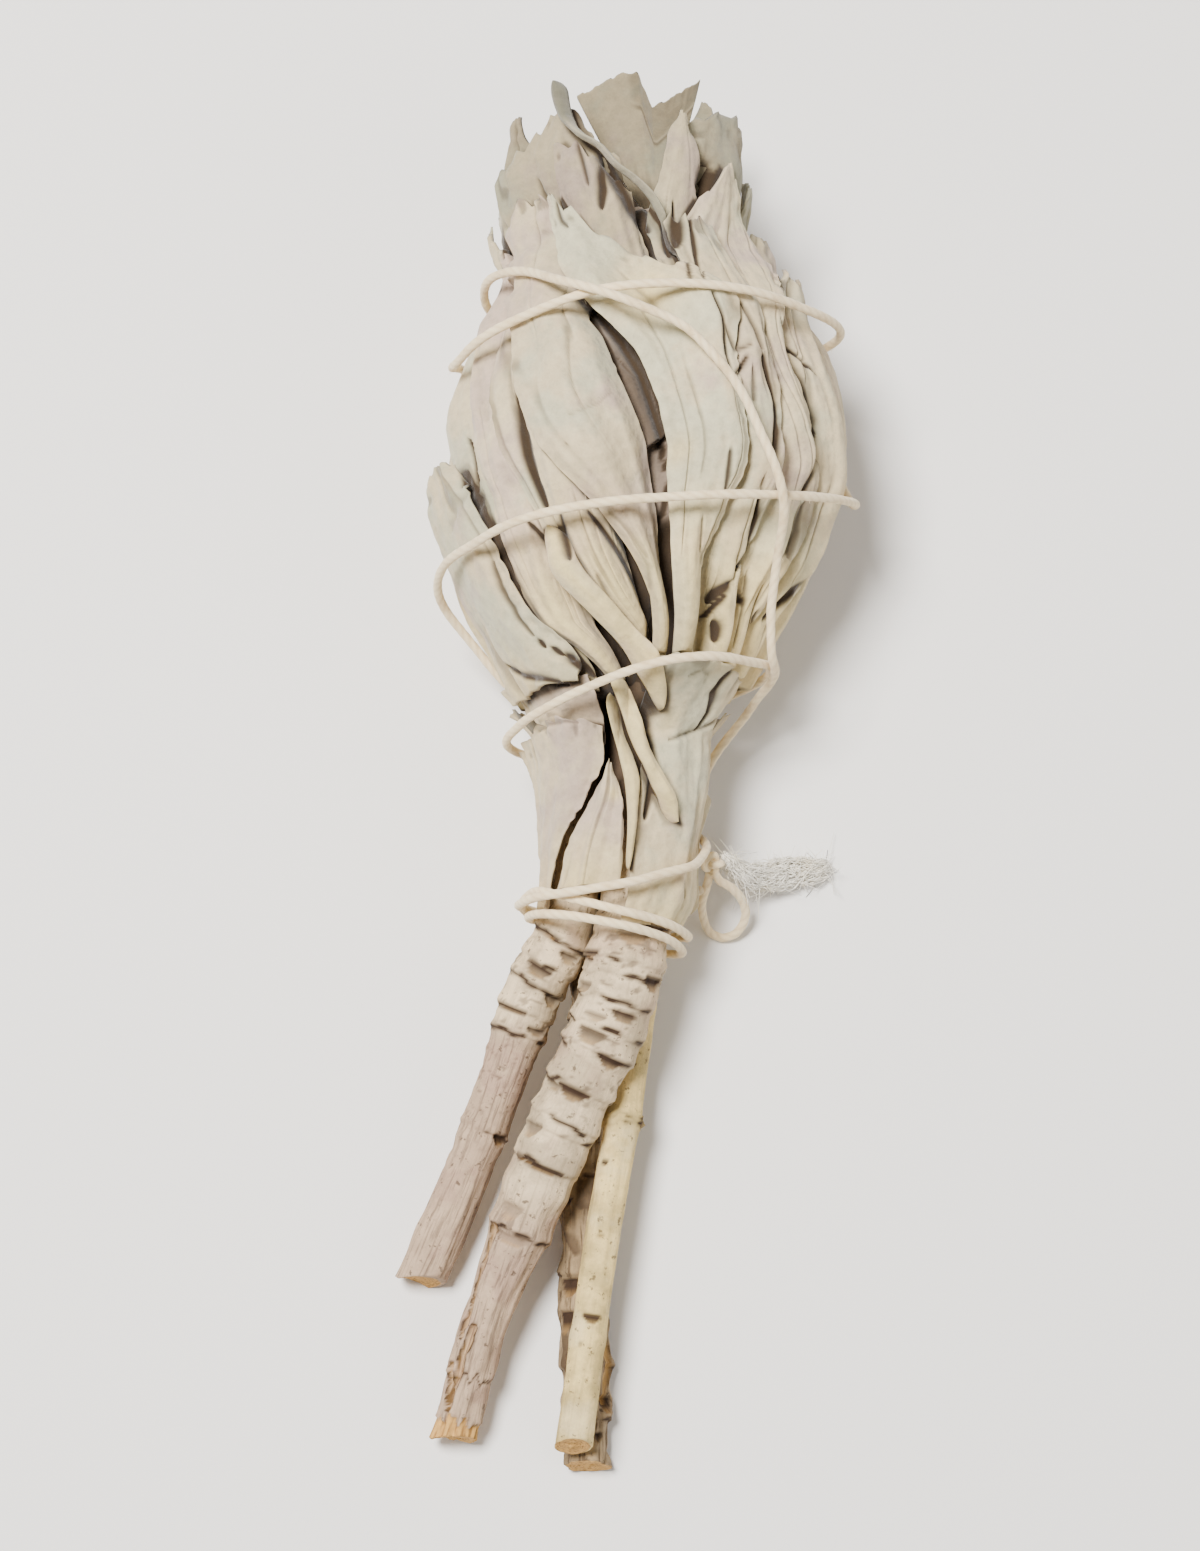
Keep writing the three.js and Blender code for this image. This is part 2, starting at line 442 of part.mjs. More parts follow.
// --------------------------------------------------------------------------------------------- leaf solids
// The broad leaf that stands across the middle of the tuft: the points of its trimmed tip, from right to
// left, and the two ends of its foot, as [x, y, z].
const BACK_LEAF_TIPS = [
  [13.8, 89.3, 38.4], [10.6, 87.4, 37.6], [7.2, 86.6, 36.4], [5.1, 91.8, 36], [1.7, 91.3, 35],
  [-1.1, 89.6, 34.4], [-3.2, 88.6, 34],
];
const BACK_LEAF_FOOT = [[8.8, 72.2, 31], [6.4, 72.2, 31]];
const BACK_LEAF_ROWS = 6;
const BACK_LEAF_HOLLOW = 1.6; // how far it sags behind the straight lines from foot to tip
const BACK_LEAF_THICKNESS = 0.85; // up and down, where it slopes

function leafGeometry(l) {
  const [lengthSteps, widthSteps] = l.mesh;
  const face = (over) =>
    Array.from({ length: lengthSteps + 1 }, (_, i) =>
      Array.from({ length: widthSteps + 1 }, (_, j) => {
        const [u, v] = [(2 * j) / widthSteps - 1, i / lengthSteps];
        const y = l.yAt(u, v);
        const phi = l.phiAt(u, y);
        const height = sample(l.bed, y, phi) + CLEARANCE + l.crown(u, v) + (over ? l.thickness(u, y) : 0);
        const point = place(y, phi, height);
        point.z = Math.max(point.z, over ? 0 : BLADE);
        return point;
      }),
    );
  return slab(face(true), face(false));
}

function backLeafGeometry() {
  const [right, left] = BACK_LEAF_FOOT.map((p) => new THREE.Vector3(...p));
  const face = (drop) =>
    Array.from({ length: BACK_LEAF_ROWS + 1 }, (_, i) =>
      BACK_LEAF_TIPS.map((tip, j) => {
        const foot = right.clone().lerp(left, j / (BACK_LEAF_TIPS.length - 1));
        const point = foot.lerp(new THREE.Vector3(...tip), i / BACK_LEAF_ROWS);
        point.z -= drop + BACK_LEAF_HOLLOW * Math.sin((Math.PI * i) / BACK_LEAF_ROWS);
        return point;
      }),
    );
  return slab(face(0), face(BACK_LEAF_THICKNESS));
}

// ---------------------------------------------------------------------------------------------- the shoots
// Each woody shoot's path, [x, y, z, radius] from its top inside the head to its cut foot, and the spacing
// of the scars that its fallen leaves left.
const SHOOTS = {
  main_stem: {
    path: [
      [5, 38, 25.5, 2.2], [5, 15, 22.4, 2.8], [4.8, 0, 20.6, 3.6], [4.8, -12, 19.3, 4.2],
      [4.6, -22, 18, 4.6], [3.4, -30, 17.2, 5.1], [1.2, -38, 16, 5], [-3.4, -48, 14, 4.6],
      [-8.2, -59, 11.8, 4.4], [-11.8, -68, 9.8, 3.7], [-15.6, -78, 7.6, 3.1], [-18.2, -87, 5.6, 3.3],
      [-20, -93.6, 3.7, 3.8],
    ],
    scars: [-25, -29.5, -33.5, -38, -41.5, -46, -50.5, -55, -60, -65.5],
    sides: 12,
    colour: 0xd9c8bc,
  },
  left_stem: {
    path: [
      [-0.6, 26, 20.5, 1.7], [-1.4, 10, 18.6, 2.2], [-1.9, 0, 17.4, 2.7], [-2.7, -12, 16, 3.1],
      [-3.5, -22, 14.9, 3.4], [-6.2, -28, 13, 3.8], [-9, -33, 11.6, 3.8], [-12, -41, 9.8, 3.4],
      [-15.6, -51, 7.6, 3.2], [-20, -61.6, 5.4, 3.4], [-24.8, -72.4, 3.3, 3.5],
    ],
    scars: [-25.5, -28.5, -31.5, -35, -38.5, -53],
    sides: 10,
    colour: 0xcdbcae,
  },
  pale_stem: {
    path: [
      [7, 22, 17.6, 1.3], [7.4, 8, 15.4, 1.7], [7.3, 0, 14, 2], [7, -12, 12.4, 2.2],
      [6.4, -22, 10.9, 2.3], [5.9, -27, 10.2, 2.3], [5.6, -32, 9.4, 2.4], [4.9, -38, 8.7, 2.45],
      [3.9, -45, 8.9, 2.45], [2.8, -52, 9.6, 2.45], [0.9, -63, 10.1, 2.4], [-1.2, -77, 10.1, 2.4],
      [-3.7, -95.2, 9.9, 2.5],
    ],
    scars: [-50.5, -80],
    sides: 10,
    colour: 0xd2cbae,
  },
  rough_stem: {
    path: [
      [2.6, 30, 17.2, 1.7], [2.4, 12, 14.8, 2.1], [2, 0, 12.8, 2.5], [1.2, -12, 11.3, 2.7],
      [0.2, -20, 9.7, 2.9], [-0.1, -24, 8.6, 3], [-0.8, -31, 7.2, 3.1], [-1.8, -42, 5.6, 3.1],
      [-2.2, -51, 4.6, 3.1], [-2.4, -62, 3.7, 3.1], [-2.2, -75, 3.2, 3.1], [-1.8, -97.2, 3, 3.1],
    ],
    scars: [-36, -57, -70, -83, -90],
    sides: 10,
    colour: 0xa8988a,
  },
};
const SHOOT_STEP = 3.2; // between rings, out of the head
const HIDDEN_SHOOT_STEP = 9; // and inside it
const SHOOT_CLEARANCE = 0.35; // round a shoot where it stands in the inner leaves
const SCAR_SWELL = 0.07; // how much thicker a shoot is at a scar
const SCAR_REACH = 1.3;

// A shoot's centre line and radius as functions of y.
function shootLine(path) {
  const inOrder = [...path].reverse();
  const [x, z, r] = [0, 2, 3].map((k) => through(inOrder.map((p) => [p[1], p[k]])));
  return { x, z, r, top: path[0][1], foot: path[path.length - 1][1] };
}

function shootGeometry({ path, scars, sides }, grow = 0) {
  const line = shootLine(path);
  const stations = [];
  for (let y = line.top; y > -20; y -= HIDDEN_SHOOT_STEP) stations.push(y);
  for (let y = -20; y > line.foot + 1; y -= SHOOT_STEP) stations.push(y);
  stations.push(line.foot);
  const rings = stations.map((y) => {
    const swell = scars.reduce((sum, s) => sum + Math.exp(-(((y - s) / SCAR_REACH) ** 2)), 0);
    const radius = line.r(y) * (1 + SCAR_SWELL * swell) + grow;
    const [rightwards, upwards] = [line.x(y + 1) - line.x(y - 1), line.z(y + 1) - line.z(y - 1)];
    const along = new THREE.Vector3(rightwards, 2, upwards).normalize();
    const side = new THREE.Vector3(0, 0, 1).cross(along).normalize();
    const up = along.clone().cross(side);
    return Array.from({ length: sides }, (_, j) => {
      const a = (-2 * Math.PI * j) / sides;
      const point = new THREE.Vector3(line.x(y), y, line.z(y))
        .addScaledVector(side, radius * Math.cos(a))
        .addScaledVector(up, radius * Math.sin(a));
      point.z = Math.max(point.z, 0);
      return point;
    });
  });
  return loft(rings);
}

// ---------------------------------------------------------------------------------- the middle of the head
const MIDDLE_STATIONS = [6, 13, 18, 24, 31, 40, 48, 55, 61, 66, 71];
const MIDDLE_SIDES = 14;

// The small leaves packed in the middle of the head, as one closed body with a plain hole round each shoot.
function packedMiddleGeometry() {
  const sink = through([[6, 2], [13, 1.4], [18, 0.6], [24, 0.2], [61, 0.2], [66, 1], [71, 4]]);
  const rings = MIDDLE_STATIONS.map((y) =>
    Array.from({ length: MIDDLE_SIDES }, (_, j) => place(y, (-360 * j) / MIDDLE_SIDES, -sink(y))),
  );
  let solid = solidFrom(loft(rings));
  for (const shoot of Object.values(SHOOTS)) {
    solid = solid.subtract(solidFrom(shootGeometry(shoot, SHOOT_CLEARANCE)));
  }
  return geometryFrom(solid);
}

// ----------------------------------------------------------------------------------------------- the twine
const TWINE_GAP = 0.55;
const TWINE_SIDES = 8;
const TWINE_STEP = 5.5; // the longest distance between the rings of its solid
const TWINE_BEND = 18; // and the most that the bunch turns between them, in degrees
const TWINE_SAMPLING = 2; // points of its line for each degree round the bunch
const TWINE_STEP_OVER = 3.6; // how soon it starts to climb over an earlier turn

// The binding's centre line over the finished pile.
function twineLine() {
  const line = [];
  const samples = (TWINE_END - TWINE_TURNS[0][0]) * TWINE_SAMPLING;
  for (let i = 0; i <= samples; i++) {
    const turned = TWINE_TURNS[0][0] + i / TWINE_SAMPLING;
    line.push({ y: twineStation(turned), phi: -turned });
  }
  for (const [y, phi] of TWINE_TAIL) line.push({ y, phi });
  const bed = drape(pile, 3);
  for (const p of line) p.height = sample(bed, p.y, p.phi) + TWINE_GAP + TWINE_RADIUS;
  // Where it passes over an earlier turn it steps over it.
  const step = 2 * TWINE_RADIUS + TWINE_GAP;
  const spots = line.map((p) => place(p.y, p.phi, p.height));
  const earlier = 60 * TWINE_SAMPLING;
  const over = spots.map((spot, i) =>
    spots.slice(0, Math.max(0, i - earlier)).some((other) => other.distanceTo(spot) < step) ? step : 0,
  );
  const walked = [0];
  for (let i = 1; i < spots.length; i++) walked.push(walked[i - 1] + spots[i].distanceTo(spots[i - 1]));
  const isNear = (i, k) => Math.abs(walked[k] - walked[i]) <= TWINE_STEP_OVER;
  const around = (values, combine) => values.map((_, i) => combine(values.filter((_, k) => isNear(i, k))));
  const lifted = around(around(over, highest), mean);
  return line.map((p, i) => place(p.y, p.phi, p.height + lifted[i]));
}

// The points of a line that its solid is carried through.
function thinned(line) {
  const kept = [line[0]];
  let [walked, turned] = [0, 0];
  for (let i = 1; i < line.length - 1; i++) {
    walked += line[i].distanceTo(line[i - 1]);
    turned += 1 / TWINE_SAMPLING;
    if (walked + line[i].distanceTo(line[i + 1]) <= TWINE_STEP && turned < TWINE_BEND) continue;
    kept.push(line[i]);
    [walked, turned] = [0, 0];
  }
  return [...kept, line[line.length - 1]];
}

// Rings of points round a line, each turned as little as it can be from the one before. radiusAt takes the
// share of the line's length from 0 to 1, by number of points.
function ringsAlong(points, radiusAt, sides, closed = false) {
  const count = points.length;
  const at = (i) => (closed ? points[(i + count) % count] : points[clamp(i, 0, count - 1)]);
  let side = new THREE.Vector3(0.3, 0.2, 1);
  return points.map((point, i) => {
    const along = at(i + 1).clone().sub(at(i - 1)).normalize();
    side = side.clone().addScaledVector(along, -along.dot(side)).normalize();
    const up = along.clone().cross(side);
    const radius = radiusAt(i / (count - 1));
    return Array.from({ length: sides }, (_, j) => {
      const a = (2 * Math.PI * j) / sides;
      const out = side.clone().multiplyScalar(Math.cos(a)).addScaledVector(up, Math.sin(a));
      return point.clone().addScaledVector(out, radius);
    });
  });
}

const tube = (points, radiusAt, sides) => loft(ringsAlong(points, radiusAt, sides));

// A round body along a line that meets itself: each ring is joined to the next, and the last to the first
// with the least twist.
function ringTube(points, radius, sides) {
  const rings = ringsAlong(points, () => radius, sides, true);
  const vertices = rings.flat();
  const [first, last] = [rings[0], rings[rings.length - 1]];
  let twist = 0;
  for (let k = 1; k < sides; k++) {
    if (first[k].distanceTo(last[0]) < first[twist].distanceTo(last[0])) twist = k;
  }
  const faces = [];
  rings.forEach((_, i) => {
    const wrap = i === rings.length - 1;
    for (let j = 0; j < sides; j++) {
      const next = (k) => (wrap ? (k + twist) % sides : (i + 1) * sides + (k % sides));
      const [a, b] = [i * sides + j, i * sides + ((j + 1) % sides)];
      faces.push(a, b, next(j + 1), a, next(j + 1), next(j));
    }
  });
  return geometryOf(vertices, faces);
}

// -------------------------------------------------------------------------------------------- the assembly
const bunch = new THREE.Group();

function add(name, geometry, colour, roughness = 0.9) {
  const material = new THREE.MeshStandardMaterial({ color: colour, roughness, metalness: 0 });
  const mesh = new THREE.Mesh(geometry, material);
  mesh.name = name;
  bunch.add(mesh);
}

for (const l of leaves) add(l.name, leafGeometry(l), 0xcfc8bb);
add("back_leaf", backLeafGeometry(), 0xcfc8bb);
add("packed_middle", packedMiddleGeometry(), 0xbdb3a4);
for (const [name, shoot] of Object.entries(SHOOTS)) add(name, shootGeometry(shoot), shoot.colour);
add("twine_binding", tube(thinned(twineLine()), () => TWINE_RADIUS, TWINE_SIDES), 0xeee2c8);

// The knot, the small bow standing off it and the frayed end of the twine, on the right of the neck.
const KNOT = new THREE.Vector3(15.4, -15.4, 12.4);
const KNOT_RADIUS = 0.85;
const knotLine = Array.from({ length: 30 }, (_, i) => {
  const t = (2 * Math.PI * i) / 30;
  const out = KNOT_RADIUS * (1 + 0.55 * Math.cos(3 * t));
  const rise = KNOT_RADIUS * 0.95 * Math.sin(3 * t);
  return new THREE.Vector3(out * Math.cos(2 * t), out * Math.sin(2 * t) * 0.9, rise);
});
add("twine_knot", ringTube(knotLine, 0.42, 7).rotateX(1.1).translate(...KNOT), 0xeee2c8);

const BOW = [
  [16.6, -17.6, 11.2], [18.2, -18.2, 9.4], [19.8, -19.4, 6.6], [20.3, -21.2, 3.9], [19.2, -23, 1.9],
  [17.2, -23.6, 1], [15.3, -22.8, 1.6], [14.4, -21.2, 3.9], [14.2, -19.6, 7], [14.7, -18.2, 9.6],
].map((p) => new THREE.Vector3(...p));
const bowLine = new THREE.CatmullRomCurve3(BOW).getSpacedPoints(22);
add("twine_bow", tube(bowLine, () => TWINE_RADIUS, TWINE_SIDES), 0xeee2c8);

const FRAYED_END = [
  [16.9, -14, 11.2], [18.6, -15.2, 8.6], [20.8, -15.9, 5.8], [23.6, -15.2, 3.3], [26.8, -14.4, 2.2],
  [30, -14.2, 1.7], [32.4, -13.4, 1.5],
].map((p) => new THREE.Vector3(...p));
const frayRadius = through([[0, 0.7], [0.3, 1.3], [0.6, 1.55], [0.85, 1.45], [1, 0.7]]);
const frayedLine = new THREE.CatmullRomCurve3(FRAYED_END).getSpacedPoints(14);
add("twine_frayed_end", tube(frayedLine, frayRadius, TWINE_SIDES), 0xf7f1e6);

// The origin is under the middle of the bunch, on the surface that it lies on.
const bounds = new THREE.Box3().setFromObject(bunch, true);
const middle = bounds.getCenter(new THREE.Vector3());
for (const mesh of bunch.children) mesh.geometry.translate(-middle.x, -middle.y, -bounds.min.z);

export default bunch;
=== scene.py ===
"""A bunch of dried white sage bound with cotton twine, dressed over its fixed frame.

The felted leaves are laid on one another from the inside out. A pile keeps the height of what has been
laid so far, over a grid of stations along the bunch (y) and turns round it (phi, 0 right, 90 up, 180 left,
270 down), and each new leaf lies on a smoothed copy of that height. Lengths are in millimetres until a
mesh is made: the bunch's own axes have +Y towards the leafy head and z = 0 on the surface it lies on.
"""

import functools
import math

import bpy
import numpy as np
from bpy.props import FloatProperty, FloatVectorProperty, IntProperty, PointerProperty
from mathutils import Matrix, Vector


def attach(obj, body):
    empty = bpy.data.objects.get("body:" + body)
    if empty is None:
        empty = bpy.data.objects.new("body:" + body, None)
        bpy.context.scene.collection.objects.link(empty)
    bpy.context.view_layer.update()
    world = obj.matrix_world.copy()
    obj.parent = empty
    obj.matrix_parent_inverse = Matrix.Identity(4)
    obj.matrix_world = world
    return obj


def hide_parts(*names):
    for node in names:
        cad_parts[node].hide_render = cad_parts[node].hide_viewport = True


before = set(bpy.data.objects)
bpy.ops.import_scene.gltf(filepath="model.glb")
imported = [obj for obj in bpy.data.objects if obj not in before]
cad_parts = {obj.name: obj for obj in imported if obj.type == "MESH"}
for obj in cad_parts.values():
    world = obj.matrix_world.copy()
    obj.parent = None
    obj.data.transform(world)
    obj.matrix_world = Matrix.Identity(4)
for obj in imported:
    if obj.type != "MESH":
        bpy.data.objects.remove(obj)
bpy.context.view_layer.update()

bl_info = {
    "name": "Sage Bunch",
    "version": (1, 0, 0),
    "blender": (4, 5, 0),
    "location": "View3D > Sidebar > Sage Bunch",
    "description": "Builds a bunch of dried sage leaves and stems bound with cotton twine",
    "category": "Add Mesh",
}

MM = 0.001
MIDDLE = np.array([4.0459, -1.6744, 0.0])  # the middle of the bunch's box, from its own axes


# ---- sizes and colours
def shade(red, green, blue):
    """A colour from its display values, 0 to 255."""
    channels = [value / 255 for value in (red, green, blue)]
    return [c / 12.92 if c <= 0.04045 else ((c + 0.055) / 1.055) ** 2.4 for c in channels] + [1.0]


def length_property(name, description, default_mm):
    return FloatProperty(
        name=name, description=description, default=default_mm * MM, min=0, unit="LENGTH", precision=5
    )


def colour_property(name, description, *display):
    return FloatVectorProperty(
        name=name, description=description, default=shade(*display), size=4, min=0, max=1, subtype="COLOR"
    )


class SageLeafSizes(bpy.types.PropertyGroup):
    blade: length_property("Blade", "Thickness of a leaf blade with its felt", 0.65)
    clearance: length_property("Clearance", "Air between a leaf and what it lies on", 0.35)
    rib: length_property("Rib", "Height of the rib that carries a leaf's stalk into its blade", 0.45)
    fold: length_property("Folds", "Depth of the folds along a blade", 0.42)
    pleat: length_property("Pleats", "Depth of the sharp creases along a blade", 0.4)
    rumple: length_property("Rumples", "Depth of the small dents in a blade", 0.07)
    lift: length_property("Edge lift", "How far a blade's edge curls off the leaf beneath", 0.9)
    crinkle: length_property("Crinkle", "Depth of the scallops along a blade's edge", 0.14)


class SageTwineSizes(bpy.types.PropertyGroup):
    radius: length_property("Radius", "Radius of the twine over its three plies", 0.62)
    lay: length_property("Lay", "Length of one full turn of the plies", 5.4)
    gap: length_property("Gap", "Air between the twine and the leaves under it", 0.3)
    fray: length_property("Fibre", "Radius of a loose fibre of the frayed end", 0.07)
    fibres: IntProperty(name="Loose fibres", description="Fibres of the frayed end", default=700, min=0)
    whiskers: IntProperty(
        name="Whiskers", description="Short stray fibres along the binding", default=500, min=0
    )


class SageStemSizes(bpy.types.PropertyGroup):
    ring_step: length_property("Ring step", "Distance between the rings of a stem's mesh", 0.32)
    furrow: length_property("Furrows", "Depth of the furrows along the bark", 0.17)
    ring: length_property("Rings", "Height of the ring round a stem at a node", 0.34)
    tear: length_property("Tear", "Thickness of the bark where it is torn off", 0.45)


class SageColours(bpy.types.PropertyGroup):
    felt: colour_property("Felt", "The leaves' felt", 207, 190, 153)
    felt_green: colour_property("Green felt", "Where the green shows through", 192, 186, 156)
    felt_lilac: colour_property("Lilac felt", "Where the felt is bruised", 190, 169, 150)
    # painted shade: the dark colour put in the hollows and gaps between the leaves
    painted_hollow_shade: colour_property("Hollows", "Dark hollows between the leaves", 58, 44, 28)
    stalk: colour_property("Stalk", "The leaves' stalks and ribs", 214, 194, 140)
    bark: colour_property("Bark", "The woody stems' bark", 194, 174, 142)
    # also the colour of the painted shade where the stems go into the neck
    bark_dark: colour_property("Dark bark", "Furrows and scars of the bark", 56, 40, 28)
    bark_lilac: colour_property("Lilac bark", "The smooth bark of the lower stems", 178, 150, 128)
    pale_bark: colour_property("Pale bark", "The pale stem's bark", 202, 178, 120)
    rough_bark: colour_property("Rough bark", "The rough stem's bark", 136, 116, 88)
    wood: colour_property("Wood", "Cut ends of the stems", 212, 166, 96)
    wood_dark: colour_property("Dark wood", "Inner bark and splinters", 122, 76, 38)
    cotton: colour_property("Cotton", "The twine", 250, 230, 188)
    # painted shade between the twine's plies
    cotton_shade: colour_property("Cotton shade", "Between the twine's plies", 206, 176, 126)
    fluff: colour_property("Fluff", "The frayed end", 255, 251, 240)
    floor: colour_property("Floor", "The floor of the stage", 250, 248, 245)


class SageStage(bpy.types.PropertyGroup):
    distance: FloatProperty(
        name="Camera distance", description="From the camera to the table", default=0.5156, unit="LENGTH"
    )
    tilt: FloatProperty(
        name="Camera tilt", description="How far the camera leans towards the stems",
        default=math.radians(13.27), subtype="ANGLE",
    )
    lens: FloatProperty(
        name="Lens", description="Focal length", default=108.87, min=1, unit="CAMERA"
    )
    key: FloatProperty(
        name="Key light", description="Power of the soft light from the upper left", default=20.0,
        min=0, unit="POWER",
    )
    fill: FloatProperty(
        name="Fill light", description="Power of the weak light from the right", default=1.6,
        min=0, unit="POWER",
    )
    sky: FloatProperty(
        name="Room light", description="Strength of the even light of the room", default=0.34, min=0
    )


# ---- helpers
WORD = 0xFFFFFFFF  # 32 bits
RANDOM_STEP = 0x6D2B79F5
SCRAMBLE = (127.1, 311.7, 74.7, 43758.5453)  # factors that turn a corner's numbers into a random height
CURVE_SHARE = 0.05  # spacing of the first points on a curve, as a share of the span between two given ones


def through(points):
    """A smooth curve through (x, y) points that doesn't overshoot them, flat past both ends."""
    x, y = (np.array(column, float) for column in zip(*points))
    rise = np.diff(y) / np.diff(x)
    slope = np.zeros(len(x))
    slope[0], slope[-1] = rise[0], rise[-1]
    for i in range(1, len(x) - 1):
        if rise[i - 1] * rise[i] > 0:
            slope[i] = 2 * rise[i - 1] * rise[i] / (rise[i - 1] + rise[i])

    def curve(at):
        at = np.clip(at, x[0], x[-1])
        i = np.clip(np.searchsorted(x, at, side="right") - 1, 0, len(x) - 2)
        width = x[i + 1] - x[i]
        t = (at - x[i]) / width
        s = 1 - t
        bend = width * t * s * (slope[i] * s - slope[i + 1] * t)
        return y[i] * (1 + 2 * t) * s * s + y[i + 1] * (1 + 2 * s) * t * t + bend

    return curve


def first_random(seed):
    """The first number from 0 to 1 of the random stream with this seed."""
    t = (seed + RANDOM_STEP) & WORD
    t = ((t ^ (t >> 15)) * (t | 1)) & WORD
    t ^= (t + (((t ^ (t >> 7)) * (t | 61)) & WORD)) & WORD
    return ((t ^ (t >> 14)) & WORD) / 2**32


def ease(start, end, at):
    """A smooth rise from 0 at the start to 1 at the end."""
    t = np.clip((at - start) / (end - start), 0, 1)
    return t * t * (3 - 2 * t)


def noise(x, y, seed=0):
    """Smooth random heights from -1 to 1, about one bump to a unit of x and of y."""

    def corner(i, j):
        value = np.sin(i * SCRAMBLE[0] + j * SCRAMBLE[1] + seed * SCRAMBLE[2]) * SCRAMBLE[3]
        return (value - np.floor(value)) * 2 - 1

    i, j = np.floor(x), np.floor(y)
    fx, fy = x - i, y - j
    fx, fy = fx * fx * (3 - 2 * fx), fy * fy * (3 - 2 * fy)
    low = corner(i, j) * (1 - fx) + corner(i + 1, j) * fx
    high = corner(i, j + 1) * (1 - fx) + corner(i + 1, j + 1) * fx
    return low * (1 - fy) + high * fy


def turn_between(start, end):
    """The turn from one angle to another, from -180 to 180 degrees."""
    return (end - start + 180) % 360 - 180


def along_span(off_y, off_x, run):
    """How far along a straight span places lie, as a share, and how far from it, by their offsets."""
    share = np.clip((off_y * run[0] + off_x * run[1]) / (run[0] ** 2 + run[1] ** 2), 0, 1)
    return share, np.hypot(off_y - share * run[0], off_x - share * run[1])


def unit(vectors):
    return vectors / np.maximum(np.linalg.norm(vectors, axis=-1, keepdims=True), 1e-9)


def distances_along(line):
    """How far along a line each of its points lies."""
    return np.concatenate([[0], np.cumsum(np.linalg.norm(np.diff(line, axis=0), axis=1))])


def add_object(name, data):
    """An object of a mesh, a light or a camera, put in the scene."""
    made = bpy.data.objects.new(name, data)
    bpy.context.scene.collection.objects.link(made)
    return made


def make_piece(name, points, faces, material, node_name, marks):
    """A piece from points in the bunch's millimetres, in place of the named CAD node."""
    mesh = bpy.data.meshes.new(name)
    mesh.from_pydata(((np.asarray(points) - MIDDLE) * MM).tolist(), [], [list(face) for face in faces])
    for mark, values in marks.items():
        mesh.attributes.new(mark, "FLOAT", "POINT").data.foreach_set("value", np.asarray(values, np.float32))
    mesh.polygons.foreach_set("use_smooth", [True] * len(mesh.polygons))
    mesh.update()
    piece = add_object(name, mesh)
    mesh.materials.append(material)
    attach(piece, "root")
    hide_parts(node_name)
    return piece


def join(parts):
    """One list of points and one of faces from several."""
    points, faces, start = [], [], 0
    for part_points, part_faces in parts:
        points.append(np.asarray(part_points, float))
        faces += [[i + start for i in face] for face in part_faces]
        start += len(part_points)
    return np.concatenate(points), faces


INNER_STEP = 3  # the inner face of a blade has one point for so many of its outer face


def two_faced(outer, inner):
    """A closed blade between a grid of points and the coarser version of another grid of its size."""
    inner = coarser(inner)
    points = np.concatenate([outer.reshape(-1, 3), inner.reshape(-1, 3)])
    front = np.arange(outer[..., 0].size).reshape(outer.shape[:2])
    back = front.size + np.arange(inner[..., 0].size).reshape(inner.shape[:2])
    faces = quads(front) + quads(back[:, ::-1])
    rim, back_rim = around(front), around(back)
    for k, start in enumerate(back_rim):
        end = back_rim[(k + 1) % len(back_rim)]
        along = [rim[(k * INNER_STEP + i) % len(rim)] for i in range(INNER_STEP + 1)]
        faces.append([*along, end, start])
    return points, faces


def coarser(grid):
    return grid[::INNER_STEP, ::INNER_STEP]


def quads(index):
    a, b, c, d = index[:-1, :-1], index[1:, :-1], index[1:, 1:], index[:-1, 1:]
    return np.stack([a, b, c, d], -1).reshape(-1, 4).tolist()


def around(index):
    """The border of a grid of indices, once round."""
    return [*index[0, :-1], *index[:-1, -1], *index[-1, :0:-1], *index[:0:-1, 0]]


def on_both(outer, inner):
    """The values of a mark at the points of a two-faced blade."""
    return np.concatenate([outer.ravel(), coarser(inner).ravel()])


def ring_faces(count, sides, closed=False, inward=False):
    """The faces of a body made of rings of points, with a cap on each end unless it is closed."""
    faces = []
    for i in range(count if closed else count - 1):
        ring, following = i * sides, (i + 1) % count * sides
        for j in range(sides):
            k = (j + 1) % sides
            a, b, c, d = ring + j, ring + k, following + k, following + j
            faces.append([b, a, d, c] if inward else [a, b, c, d])
    if not closed:
        caps = [list(range(sides))[::-1], [(count - 1) * sides + j for j in range(sides)]]
        faces += [cap[::-1] for cap in caps] if inward else caps
    return faces


def frames_along(points, closed=False):
    """Unit vectors along a line, to its side and up, each turned as little as it can be from the last."""
    along = np.roll(points, -1, 0) - np.roll(points, 1, 0)
    if not closed:
        along[0], along[-1] = points[1] - points[0], points[-1] - points[-2]
    along = unit(along)
    side = np.array([0.3, 0.2, 1.0])
    sides = np.empty_like(points)
    for i, direction in enumerate(along):
        side = side - direction * direction.dot(side)
        side = side / np.linalg.norm(side)
        sides[i] = side
    return along, sides, np.cross(along, sides)


def tube(points, radius_at, sides, closed=False):
    """A body round a line. radius_at takes the ring's number and the angles round it, both as arrays."""
    _, side, up = frames_along(points, closed)
    count = len(points)
    angle = np.linspace(0, 2 * np.pi, sides, endpoint=False)
    radius = radius_at(np.arange(count)[:, None], angle[None, :])
    ring = side[:, None] * np.cos(angle)[None, :, None] + up[:, None] * np.sin(angle)[None, :, None]
    grid = points[:, None] + ring * np.broadcast_to(radius, (count, sides))[..., None]
    return grid.reshape(-1, 3), ring_faces(count, sides, closed)


